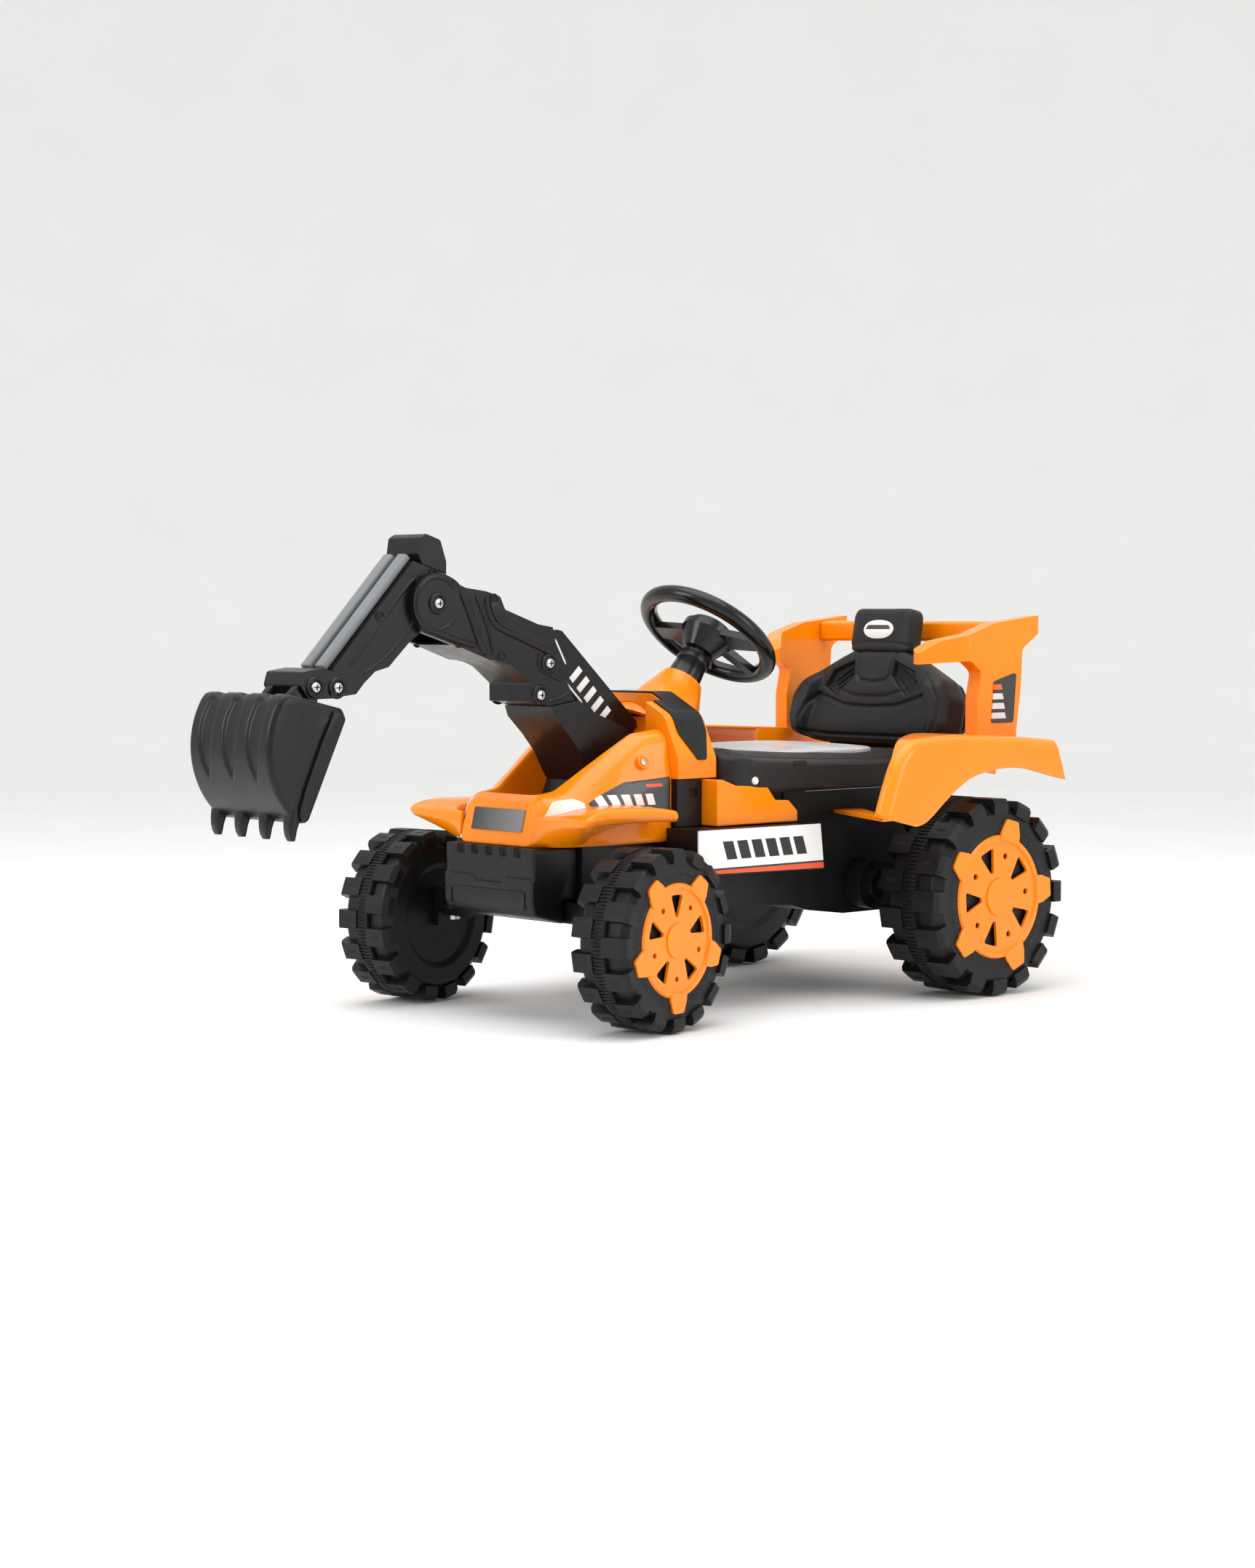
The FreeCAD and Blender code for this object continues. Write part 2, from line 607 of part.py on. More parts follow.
band = front(both_ways([(126, 312), (126, 318.5, 21), (99.5, 373.5, 27), (44.5, 400.5, 21)]), 150, 199)
band = band.cut(front(both_ways([(124, 280), (124, 318, 20), (98, 372, 26), (44, 398, 20)]), 140, 210))
band = band.cut(solid_cone)
band = band.cut(block(-notch_half - 1, notch_half + 1, 140, notch_back + 1, notch_floor, 402))
band = band.common(side([(170, 316, 4), (150, 350, 12), (150, 402), (199, 402), (199, 352, 12), (184, 316, 4)],
                        -130, 130))
save("dash_band", band)


# ---------------------------------------------------------------- body shell
shell_side = [(180, 233), (324, 233), (324, 247), (308, 261), (284, 262), (269, 280), (214, 283), (190, 291.5),
              (180, 291.5)]
shell_hollow = [(184, 228), (320, 228), (320, 245), (306, 257), (282, 258), (267, 276), (212, 279), (184, 287)]
shell = side(shell_side, -seat_half, seat_half)
shell = shell.cut(side(shell_hollow, -seat_half + wall, seat_half - wall))
save("body_shell", shell)
flank = side([(137, 233), (179.5, 233), (179.5, 292), (137, 292)], 115, 122)
flank = flank.cut(side([(158, 270, 2), (158, 280, 2), (172, 280, 2), (172, 270, 2)], 119, 123))
save("flank_panels", pair(flank))

panel = side([(128, 231), (345, 230), (351.5, 173), (161, 176), (128, 201)], step_half + 0.2, step_half + 2.2)
save("side_plates", pair(panel))

deck_top = 314.0
deck_half = fender_inner - gap
rear_deck = side(aft([(54.5, 286), (54.5, deck_top), (124, deck_top, 12), (118, 286)]), -deck_half, deck_half)
deck_hollow = aft([(58.5, 280), (58.5, deck_top - wall), (119.5, deck_top - wall, 8), (113, 280)])
rear_deck = rear_deck.cut(side(deck_hollow, -deck_half + wall, deck_half - wall))
save("rear_deck", rear_deck)

# rear mudguards: an arched shell over each rear wheel
arch_outer = aft([(-231, 241, 4), (-210, 291, 8), (-195, 327, 14), (-154, 341, 30), (-73, 343, 60), (58, 337, 60),
                  (151, 332, 3), (135, 300, 8), (130, 278, 3), (32, 298, 60), (-41, 293, 30), (-112, 259, 30),
                  (-147, 235, 8), (-167, 229, 4)])
arch_inner = aft([(-230, 190), (-226, 242), (-206, 290, 8), (-191, 323, 12), (-153, 337, 30), (-73, 339, 60),
                  (58, 333, 60), (144, 328.5), (131, 300), (126, 270), (126, 190)])
rear_guard = side(arch_outer, fender_inner, fender_outer)
rear_guard = rear_guard.cut(side(arch_inner, fender_inner + skin, fender_outer - skin))
rear_guard = rear_guard.cut(plan(aft_plan([(150, -248), (281, -248), (281, -188), (160, -11), (150, -11)]),
                                 200, 400))
tail_cut = prism(aft([(97, 360), (140, 250), (252, 250), (252, 360)]), lambda p: Vector(fender_outer, p.x, p.y),
                 Vector(-130, 60, 0))
rear_guard = rear_guard.cut(tail_cut)
lip_in = chassis_half + 1
guard_lip = plan(aft_plan([(283, -228), (283, -206), (lip_in, -98), (lip_in, -147)]), 238, 243)
rear_guard = rear_guard.fuse(guard_lip)
save("mudguards_rear", pair(rear_guard))

# roll bar: two cheek plates with wings and a cross bar
cheek_in = 168.0
cheek_out = 190.0
cheek_base = 341.0
cheek = side(aft([(60, cheek_base), (60, 386, 20), (68, 421, 10), (50, 433), (50, 473), (95, 487, 12),
                  (tail_overhang, 497), (tail_overhang, 472, 3), (152, 452, 12), (149, 400, 20),
                  (140, cheek_base)]), cheek_in, cheek_out)
wing = plan(aft_plan([(cheek_out, 72), (cheek_out, 43, 14), (140, -6, 4), (124, 3, 3), (cheek_in, 50, 8),
                      (cheek_in, 72)]), 420, 490)
wing = wing.common(side(aft([(72, 424), (44, 436), (-8, 431, 3), (-8, 443, 3), (17, 463, 12), (44, 471),
                             (72, 480)]), 100, 200))
cheek = cheek.fuse(wing)
foot_pad = side(aft([(60, 336), (60, cheek_base), (140, cheek_base), (140, 332)]), cheek_in, cheek_out)
foot_pad = foot_pad.cut(side(arch_outer, cheek_in - 1, cheek_out + 1))
cheek = cheek.fuse(foot_pad)
save("roll_bars", pair(cheek))
bar_section = aft([(128, 460, 5), (128, 488, 5), (148, 490, 5), (148, 462, 5)])
save("roll_cross_bar", side(bar_section, -cheek_in, cheek_in))
badge = side(aft([(87, 352, 4), (92, 408, 4), (138, 420, 4), (132, 352, 4)]), cheek_out, cheek_out + 1.5)
save("roll_bar_plates", pair(badge))


# ---------------------------------------------------------------- seat
seat_end = seat_back - 9.5
seat_base = side([(203.5, 337, 6), (255, 326, 40), (seat_end - 136.5, 318, 60), (seat_end, 322, 4),
                  (seat_end, 272), (325, 272), (300, 284), (215, 284), (204, 293)], -seat_half, seat_half)
seat_base = seat_base.common(front(both_ways([(seat_half - 8, 268), (seat_half, 290, 8),
                                              (seat_half - 12, 330, 18), (110, 345)]), 190, seat_end + 8))
dish = plan(both_ways([(60, 296, 20), (100, 318, 24), (104, 500, 24), (88, 536, 20)]), 309, 345)
seat_base = seat_base.cut(dish).cut(block(-seat_half + 5, seat_half - 5, 335, seat_end - 5.5, 260, 305))
seat_base = seat_base.cut(solid_cone).cut(rod(shaft_foot, wheel_centre, 13))
save("seat_base", seat_base)
insert = plan(both_ways([(59.5, 296.5, 20), (99.5, 318.5, 24), (103.5, 499.5, 24), (87.5, 535.5, 20)]),
              309.5, 318)
save("seat_insert", insert)

recline = 10.0
seat_hinge = Vector(0, seat_back, 323)
back = front(both_ways([(112, 323, 10), (147, 345, 12), (147, 384, 18), (127, 414, 14), (66, 443, 8),
                        (50, 452, 3)]), seat_back, seat_back + 40)
bolster = front([(110, 330, 8), (147, 345, 12), (147, 384, 18), (122, 412, 6)], seat_back - 16, seat_back)
vent = front([(60, 394, 3), (106, 396, 3), (60, 424, 3)], seat_back - 4, seat_back + 10)
back = back.fuse(bolster).fuse(mirrored(bolster)).cut(vent).cut(mirrored(vent))
rest = front(both_ways([(48, 447, 8), (48, 510, 14)]), seat_back, seat_back + 34)


def reclined(shape):
    return spun(shape, seat_hinge, across, -recline)


rest = reclined(rest.cut(back))
back = reclined(back)
save("backrest", back)
save("headrest", rest)
back_shell = front(both_ways([(108, 312), (108, 330, 8), (140, 348, 12), (140, 382, 14), (121, 409, 10),
                              (60, 438, 8)]), seat_back + 40.3, seat_back + 52)
save("back_shell", reclined(back_shell).cut(block(-200, 200, seat_back - 12, tail, 250, deck_top)))
head_badge = front(both_ways([(22, 472, 8), (22, 490, 8)]), seat_back - 1.7, seat_back - 0.3)
save("headrest_badge", reclined(head_badge))

# foot pedal on the right running board, raised at its front edge
pedal_hinge = Vector(-145, 177, tub_top + 4)
pedal = block(-164, -126, 142, 174, tub_top + 2.5, tub_top + 6.5)
pedal = pedal.fuse(cross_rod(pedal_hinge.y, pedal_hinge.z, -164, -126, 3))
pedal = pedal.fuse(block(-164, -126, 172, 177, tub_top + 2.5, tub_top + 6))
save("pedal", spun(pedal, pedal_hinge, across, -7))


# ---------------------------------------------------------------- digger arm
def thick(points, half, depth=wall):
    """Side outline as a hollow body, its wall depth thick, from -half to half."""
    solid = side(points, -half, half)
    face = Part.Face(outline(points, lambda p: Vector(-half + depth, p.x, p.y)))
    hollow = face.makeOffset2D(-depth).extrude(Vector(2 * (half - depth), 0, 0))
    return solid.cut(hollow)


def halves(shape):
    """The left and the right half of a body split along the middle."""
    return (shape.common(block(0.1, 200, -600, 400, 0, 700)), shape.common(block(-200, -0.1, -600, 400, 0, 700)))


def bolt(y, z, half, radius=pin_radius):
    """Bolt along X with a round head outside each cheek."""
    shank = cross_rod(y, z, -half, half, radius)
    heads = cross_rod(y, z, half, half + 3, radius + 3).fuse(cross_rod(y, z, -half - 3, -half, radius + 3))
    return shank.fuse(heads)


spindle_radius = 12.0
table_top = well_floor + 5
turntable = rod(Vector(0, swing_y, well_floor), Vector(0, swing_y, table_top), 29)
turntable = turntable.fuse(rod(Vector(0, swing_y, well_floor), Vector(0, swing_y, table_top + 26), spindle_radius))
save("turntable", turntable)

post_points = [(-3, 384.5), (2, 371), (25, 349), (44, 327), (55, 303), (62, 290), (46, 262), (46, table_top + gap),
               (90, table_top + gap), (106, 300), (112, 325), (128, 347.2), (142, 347.5), (58, 379.5), (40, 391)]
post = thick(post_points, 45)
post = post.fuse(rod(Vector(0, swing_y, table_top + gap), Vector(0, swing_y, table_top + 30), spindle_radius + 5))
post = post.cut(rod(Vector(0, swing_y, table_top - 1), Vector(0, swing_y, table_top + 27),
                    spindle_radius + running))
post = post.common(front(both_ways([(36, 230), (36, 262), (45, 330), (45, 400)]), -100, 200))

boom_points = [(-176, 546, 20), (-150, 536), (-135, 530), (-103, 526), (-81, 520, 4), (-73, 504, 4), (-20, 486),
               (3.5, 482.5), (7.5, 467), (-5, 449), (27, 414), (40, 391.5), (-2, 385), (-32, 391), (-32, 413, 4),
               (-59, 434), (-78, 441), (-98, 443), (-144, 459), (-202, 477, 10), (-214, 500, 20), (-206, 536, 20)]
boom = thick(boom_points, boom_half)
slot_half = dipper_half + gap
boom = boom.fuse(cross_rod(pivot[0], pivot[1], -boom_half - 2, boom_half + 2, 36))
boom = boom.cut(cross_rod(pivot[0], pivot[1], -slot_half, slot_half, 57))
boom = boom.cut(side([(-260, 420), (-190, 470), (-170, 520), (-200, 600), (-260, 600)], -slot_half, slot_half))
boom = boom.cut(cross_rod(pivot[0], pivot[1], -60, 60, pin_radius))
boom_bolt_places = [(-3, 438), (-18, 399)]
bosses = [cross_rod(y, z, -boom_half, boom_half, 8) for y, z in boom_bolt_places]
boom = boom.multiFuse(bosses)
for y, z in boom_bolt_places:
    boom = boom.cut(cross_rod(y, z, -60, 60, pin_radius))
boom_left, boom_right = halves(boom)
save("boom_left", boom_left)
save("boom_right", boom_right)
save("arm_post", post.cut(boom))
bolts = [bolt(pivot[0], pivot[1], boom_half + 2)] + [bolt(y, z, boom_half) for y, z in boom_bolt_places]
save("boom_bolts", Part.makeCompound(bolts))

cover_points = [(14, 480, 4), (25, 478, 6), (126, 385), (150, 364, 4), (152, 355, 3), (143, 348.2), (59, 380.2),
                (28.5, 414), (-3.5, 449), (9, 467)]
save("boom_cover", thick(cover_points, 33, 3).cut(boom))

dipper_points = [(-331, 424, 4), (-324, 437, 4), (-207, 561), (-157, 546), (-149, 511, 20), (-165, 481, 16),
                 (-195, 478), (-215, 464), (-245, 436), (-265, 431), (-282, 417), (-293, 405), (-318, 402)]
dipper = thick(dipper_points, dipper_half)
dipper = dipper.fuse(cross_rod(wrist[0], wrist[1], -dipper_half, dipper_half, 12))
dipper = dipper.fuse(cross_rod(pivot[0], pivot[1], -dipper_half, dipper_half, 14))
dipper = dipper.cut(cross_rod(wrist[0], wrist[1], -60, 60, pin_radius + running))
dipper = dipper.cut(cross_rod(pivot[0], pivot[1], -60, 60, pin_radius + running))
dipper_left, dipper_right = halves(dipper)
save("dipper_left", dipper_left)
save("dipper_right", dipper_right)
cap_points = [(-194, 557.6), (-200, 570, 3), (-197, 589, 5), (-188, 594, 4), (-166, 587, 6), (-157, 561, 4),
              (-157, 546.5)]
save("dipper_cap", thick(cap_points, dipper_half, 3))
strip_line = Vector(0, 117, 124).normalize()
strip_rise = Vector(0, -strip_line.z, strip_line.y)
strip_start = Vector(8, -322, 440)
strip_length = 150.0
strip = Part.Face(Part.makePolygon([
    strip_start, along(strip_line, strip_length, strip_start),
    along(strip_rise, 9, along(strip_line, strip_length, strip_start)),
    along(strip_rise, 9, strip_start), strip_start])).extrude(Vector(15, 0, 0))
strip = strip.cut(dipper).cut(thick(cap_points, dipper_half, 3))
save("dipper_rods", pair(strip))

bracket_in = dipper_half + gap
bracket_out = bracket_in + 5
bracket = side([(wrist[0] + 13, wrist[1] - 12, 10), (wrist[0] + 13, wrist[1] + 13, 10), (-345, 436, 4),
                (-372, 432, 4), (-377, 416, 6), (curl[0] - 8, curl[1] - 14, 8)], -bracket_out, bracket_out)
bracket = bracket.cut(side([(-300, 380), (-300, 450), (-344, 440), (-345, 431.5), (-369, 428.5), (-372, 416),
                            (-390, 400), (-390, 380)], -bracket_in, bracket_in))
for y, z in (wrist, curl):
    bracket = bracket.cut(cross_rod(y, z, -60, 60, pin_radius))
save("bucket_bracket", bracket)
save("bracket_bolts", Part.makeCompound([bolt(y, z, bracket_out) for y, z in (wrist, curl)]))

# bucket: an arched back between two side plates, open towards the tractor
arch_radius = 105.0
arch_y = arch_radius - arm_reach
arch_z = 345.0


def arch_point(angle, inset):
    r = arch_radius - inset
    return (arch_y + r * math.cos(math.radians(angle)), arch_z + r * math.sin(math.radians(angle)))


def bucket_face(x, inset, mouth):
    """Side outline of the bucket; mouth moves its open edge towards the tractor."""
    first = arch_point(148, inset)
    middle = arch_point(185, inset)
    last = arch_point(227, inset)
    corners = [last, (-413 + inset + mouth, 262 + inset), (-403 + mouth * 2, 262 + inset),
               (-347 + mouth, 382 - inset), (-358 + mouth, 392 - inset), (-425 + inset, 410 - inset), first]
    points = [Vector(x, p[0], p[1]) for p in corners]
    lines = [Part.LineSegment(points[i], points[i + 1]).toShape() for i in range(len(points) - 1)]
    back_arc = Part.Arc(Vector(x, *first), Vector(x, *middle), Vector(x, *last)).toShape()
    return Part.Face(Part.Wire([back_arc] + lines))


bucket = bucket_face(-bucket_half, 0, 0).extrude(Vector(2 * bucket_half, 0, 0))
inner_half = bucket_half - bucket_wall
bucket = bucket.cut(bucket_face(-inner_half, bucket_wall, 12).extrude(Vector(2 * inner_half, 0, 0)))
tooth = side([(-422, 274), (-425, 258, 6), (-421, 240, 2), (-414, 240, 2), (-410, 256, 6), (-406, 266)], -8, 8)
tooth_places = [(i - (teeth - 1) / 2) * tooth_pitch for i in range(teeth)]
bucket = bucket.multiFuse([moved(tooth, x, 0, 0) for x in tooth_places])
ear = side([(-384, 397), (curl[0] - 11, curl[1] + 2, 5), (curl[0] - 6, curl[1] + 11, 6),
            (curl[0] + 8, curl[1] + 10, 6), (curl[0] + 11, curl[1] - 6, 6), (-353, 386)], 18, dipper_half)
for lug in (ear, mirrored(ear)):
    bucket = bucket.fuse(lug)
bucket = bucket.cut(cross_rod(curl[0], curl[1], -60, 60, pin_radius + running))
save("bucket", bucket)
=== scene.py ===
"""The looks of a child's ride-on digger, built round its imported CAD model."""
import json
import math

import bmesh
import bpy
import numpy as np
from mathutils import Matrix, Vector


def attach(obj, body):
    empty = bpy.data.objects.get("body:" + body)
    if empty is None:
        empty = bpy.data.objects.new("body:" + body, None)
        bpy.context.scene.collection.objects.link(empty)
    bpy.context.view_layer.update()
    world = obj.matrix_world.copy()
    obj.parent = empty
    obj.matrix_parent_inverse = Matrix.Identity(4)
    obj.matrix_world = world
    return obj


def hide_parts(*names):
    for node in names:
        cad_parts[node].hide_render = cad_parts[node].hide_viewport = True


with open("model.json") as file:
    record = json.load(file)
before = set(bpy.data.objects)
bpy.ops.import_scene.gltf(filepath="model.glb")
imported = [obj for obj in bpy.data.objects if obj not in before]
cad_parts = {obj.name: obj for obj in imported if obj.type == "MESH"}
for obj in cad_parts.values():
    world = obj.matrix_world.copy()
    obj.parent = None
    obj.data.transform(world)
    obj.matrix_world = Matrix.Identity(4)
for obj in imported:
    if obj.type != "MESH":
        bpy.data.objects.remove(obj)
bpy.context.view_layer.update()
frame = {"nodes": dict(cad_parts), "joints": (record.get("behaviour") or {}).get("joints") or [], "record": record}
joints = {joint["name"]: joint for joint in frame["joints"]}
front_axle = joints["left_kingpin"]["pos_m"][1]
body_of_node = {node: body for body, nodes in frame["record"]["behaviour"]["bodies"].items()
                for node in nodes}
slot_of_node = {part["node"]: part["material_slot"] for part in frame["record"]["subparts"]}

# ------------------------------------------------------------------ sizes of the pieces, millimetres
# Drawn with Y = 0 at the front axle, as the CAD model is.
front_tyre = {"radius": 110.0, "width": 82.0}
rear_tyre = {"radius": 129.0, "width": 102.0}
lugs = 16
bucket_half = 80.0
boom_half = 40.0
dipper_half = 31.0
recline = math.radians(10)
seat_hinge = (612.0, 323.0)


def place(points):
    """Millimetres from the front axle to metres in the frame."""
    return np.asarray(points, float) * 0.001 + np.array([0.0, front_axle, 0.0])


# ------------------------------------------------------------------ shapes as arrays
def smooth_step(value):
    """0 below 0, 1 above 1, and the cubic 3t^2 - 2t^3 between."""
    t = np.clip(value, 0.0, 1.0)
    return t * t * (3 - 2 * t)


def shell(points, wrap_rows=False, wrap_columns=False, caps=False):
    """Vertices and faces of a grid; point (i, j) is joined to (i+1, j) and (i, j+1)."""
    points = np.asarray(points, float)
    rows, columns = points.shape[:2]
    i = np.arange(rows if wrap_rows else rows - 1)[:, None]
    j = np.arange(columns if wrap_columns else columns - 1)[None, :]
    a = i * columns + j
    b = i * columns + (j + 1) % columns
    c = ((i + 1) % rows) * columns + (j + 1) % columns
    d = ((i + 1) % rows) * columns + j
    faces = np.stack([a, b, c, d], -1).reshape(-1, 4).tolist()
    if caps:
        faces.append(list(range(columns))[::-1])
        faces.append([(rows - 1) * columns + k for k in range(columns)])
    return points.reshape(-1, 3), faces


def mirrored(shape):
    """The same shape at -X."""
    return shape[0] * np.array([-1.0, 1.0, 1.0]), [face[::-1] for face in shape[1]]


def pair(shape):
    return [shape, mirrored(shape)]


def corners_cut(points, distance):
    """Closed outline with each corner replaced by two points, each the given distance from it
    along its two edges, and never more than 0.4 of an edge."""
    before = np.roll(points, 1, axis=-2) - points
    after = np.roll(points, -1, axis=-2) - points
    long_before = np.linalg.norm(before, axis=-1, keepdims=True) + 1e-9
    long_after = np.linalg.norm(after, axis=-1, keepdims=True) + 1e-9
    first = points + before / long_before * np.minimum(distance, 0.4 * long_before)
    last = points + after / long_after * np.minimum(distance, 0.4 * long_after)
    return np.stack([first, last], axis=-2).reshape(points.shape[:-2] + (-1, points.shape[-1]))


def slab(outline, low, high, axis="x", edge=1.0, round_corners=0.0):
    """Flat plate: an outline carried from low to high along one axis, with both rims drawn in by
    edge so that they read as rounded."""
    ring = np.asarray(outline, float)
    if round_corners:
        ring = corners_cut(corners_cut(ring, round_corners), round_corners * 0.4)
    middle = ring.mean(0)
    inward = middle - ring
    inward = inward / (np.linalg.norm(inward, axis=1, keepdims=True) + 1e-9)
    rise = math.copysign(edge, high - low)
    rows = []
    for offset, level in ((edge, low), (edge * 0.3, low + rise * 0.3), (0, low + rise), (0, high - rise),
                          (edge * 0.3, high - rise * 0.3), (edge, high)):
        flat = ring + inward * offset
        column = np.full(len(flat), level)
        if axis == "x":
            rows.append(np.stack([column, flat[:, 0], flat[:, 1]], 1))
        elif axis == "y":
            rows.append(np.stack([flat[:, 0], column, flat[:, 1]], 1))
        else:
            rows.append(np.stack([flat[:, 0], flat[:, 1], column], 1))
    return shell(np.array(rows), wrap_columns=True, caps=True)


def smooth_path(points, spacing=4.0):
    """Catmull-Rom curve through the points, sampled about every spacing millimetres."""
    p = np.asarray(points, float)
    p = np.vstack([2 * p[0] - p[1], p, 2 * p[-1] - p[-2]])
    pieces = []
    for k in range(1, len(p) - 2):
        count = max(2, int(np.linalg.norm(p[k + 1] - p[k]) / spacing))
        t = np.linspace(0, 1, count, endpoint=False)[:, None]
        pieces.append(0.5 * (2 * p[k] + (p[k + 1] - p[k - 1]) * t
                             + (2 * p[k - 1] - 5 * p[k] + 4 * p[k + 1] - p[k + 2]) * t ** 2
                             + (3 * p[k] - p[k - 1] - 3 * p[k + 1] + p[k + 2]) * t ** 3))
    return np.vstack(pieces + [p[-2:-1]])


def bead(points, out, wide, high, sides=10, sink=0.3):
    """Half-round moulded rib: an ellipse wide across and high along `out`, carried along a path.
    Ring point = path + across * wide/2 * cos(a) + out * (high * sin(a) - sink)."""
    path = smooth_path(points)
    out = np.asarray(out, float)
    tangent = np.gradient(path, axis=0)
    tangent /= np.linalg.norm(tangent, axis=1, keepdims=True)
    across = np.cross(tangent, out)
    across /= np.linalg.norm(across, axis=1, keepdims=True)
    angle = np.linspace(0, 2 * math.pi, sides, endpoint=False)
    taper = np.ones(len(path))
    taper[[0, -1]] = 0.25
    ring = (path[:, None, :]
            + across[:, None, :] * (wide / 2 * np.cos(angle))[None, :, None] * taper[:, None, None]
            + out * (high * np.sin(angle) - sink)[None, :, None] * taper[:, None, None])
    return shell(ring, wrap_columns=True, caps=True)


def lathe(profile, centre, axis, start, segments=32):
    """Solid turned about an axis: profile rows are (distance along the axis, radius)."""
    profile = np.asarray(profile, float)
    axis = np.asarray(axis, float)
    axis /= np.linalg.norm(axis)
    side = np.cross(axis, np.asarray(start, float))
    side /= np.linalg.norm(side)
    fore = np.cross(side, axis)
    angle = np.linspace(0, 2 * math.pi, segments, endpoint=False)
    ring = (np.cos(angle)[:, None] * fore + np.sin(angle)[:, None] * side)
    points = (np.asarray(centre, float) + profile[:, 0][:, None, None] * axis
              + profile[:, 1][:, None, None] * ring[None, :, :])
    return shell(points, wrap_columns=True, caps=True)


def make(name, shapes, material, body, stands_for=(), sharp=38, facing=None, metres=False):
    """One object from several shapes. Closed shapes get their faces turned outwards; an open one is
    turned so that its faces look away from the point `facing`."""
    vertices = []
    faces = []
    count = 0
    for points, polygons in shapes:
        vertices.append(points)
        faces += [[k + count for k in polygon] for polygon in polygons]
        count += len(points)
    mesh = bpy.data.meshes.new(name)
    stacked = np.vstack(vertices)
    mesh.from_pydata((stacked if metres else place(stacked)).tolist(), [], faces)
    work = bmesh.new()
    work.from_mesh(mesh)
    bmesh.ops.remove_doubles(work, verts=work.verts, dist=2e-6)
    bmesh.ops.recalc_face_normals(work, faces=work.faces)
    if facing is not None:
        inner = Vector(place(facing))
        score = sum(face.calc_area() * face.normal.dot(face.calc_center_median() - inner)
                    for face in work.faces)
        if score < 0:
            bmesh.ops.reverse_faces(work, faces=work.faces)
    work.to_mesh(mesh)
    work.free()
    mesh.shade_smooth()
    mesh.set_sharp_from_angle(angle=math.radians(sharp))
    piece = bpy.data.objects.new(name, mesh)
    bpy.context.scene.collection.objects.link(piece)
    mesh.materials.append(material)
    if stands_for:
        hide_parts(*stands_for)
    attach(piece, body)
    return piece


def softened(node, material, width, segments=2, angle=28):
    """A CAD node's shape with the rounded edges that a mould leaves: its triangles are merged, flat
    ones joined, and every edge sharper than `angle` gets a bevel `width` millimetres wide."""
    source = frame["nodes"][node]
    work = bmesh.new()
    work.from_mesh(source.data)
    bmesh.ops.remove_doubles(work, verts=work.verts, dist=1e-5)
    bmesh.ops.dissolve_limit(work, angle_limit=math.radians(0.6), verts=work.verts, edges=work.edges)
    mesh = bpy.data.meshes.new(node + "_moulded")
    work.to_mesh(mesh)
    work.free()
    for spare in ("custom_normal", "sharp_edge", "sharp_face"):
        if spare in mesh.attributes:
            mesh.attributes.remove(mesh.attributes[spare])
    mesh.shade_smooth()
    mesh.set_sharp_from_angle(angle=math.radians(angle))
    piece = bpy.data.objects.new(node + "_moulded", mesh)
    bpy.context.scene.collection.objects.link(piece)
    mesh.materials.clear()
    mesh.materials.append(material)
    bevel = piece.modifiers.new("mould_edge", "BEVEL")
    bevel.width = width * 0.001
    bevel.segments = segments
    bevel.limit_method = "ANGLE"
    bevel.angle_limit = math.radians(angle)
    bevel.miter_outer = "MITER_ARC"
    bevel.harden_normals = True
    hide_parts(node)
    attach(piece, body_of_node[node])
    return piece


def painted(node, material):
    """A CAD node kept as it is, with a material."""
    materials = frame["nodes"][node].data.materials
    materials.clear()
    materials.append(material)


# ------------------------------------------------------------------ materials
def colour(text):
    """sRGB hex to linear red, green, blue, alpha."""
    values = [int(text[k:k + 2], 16) / 255 for k in (1, 3, 5)]
    return [v / 12.92 if v <= 0.04045 else ((v + 0.055) / 1.055) ** 2.4 for v in values] + [1.0]


def started(name):
    """A new material with its shader and output; returns the material and the shader."""
    material = bpy.data.materials.new(name)
    material.use_nodes = True
    material.node_tree.nodes.clear()
    shader = add(material, "ShaderNodeBsdfPrincipled")
    add(material, "ShaderNodeOutputMaterial", {"Surface": shader.outputs["BSDF"]})
    return material, shader


def add(material, kind, inputs=None, **settings):
    """Adds one node, sets its fields, and fills or links its inputs."""
    node = material.node_tree.nodes.new(kind)
    for name, value in settings.items():
        setattr(node, name, value)
    for name, value in (inputs or {}).items():
        socket = node.inputs[name]
        if isinstance(value, bpy.types.NodeSocket):
            material.node_tree.links.new(value, socket)
        else:
            socket.default_value = value
    return node


def join(material, output, socket):
    material.node_tree.links.new(output, socket)


def per_mm(size):
    """Noise scale for a pattern whose grains are `size` millimetres apart, on coordinates in metres."""
    return 1000.0 / size


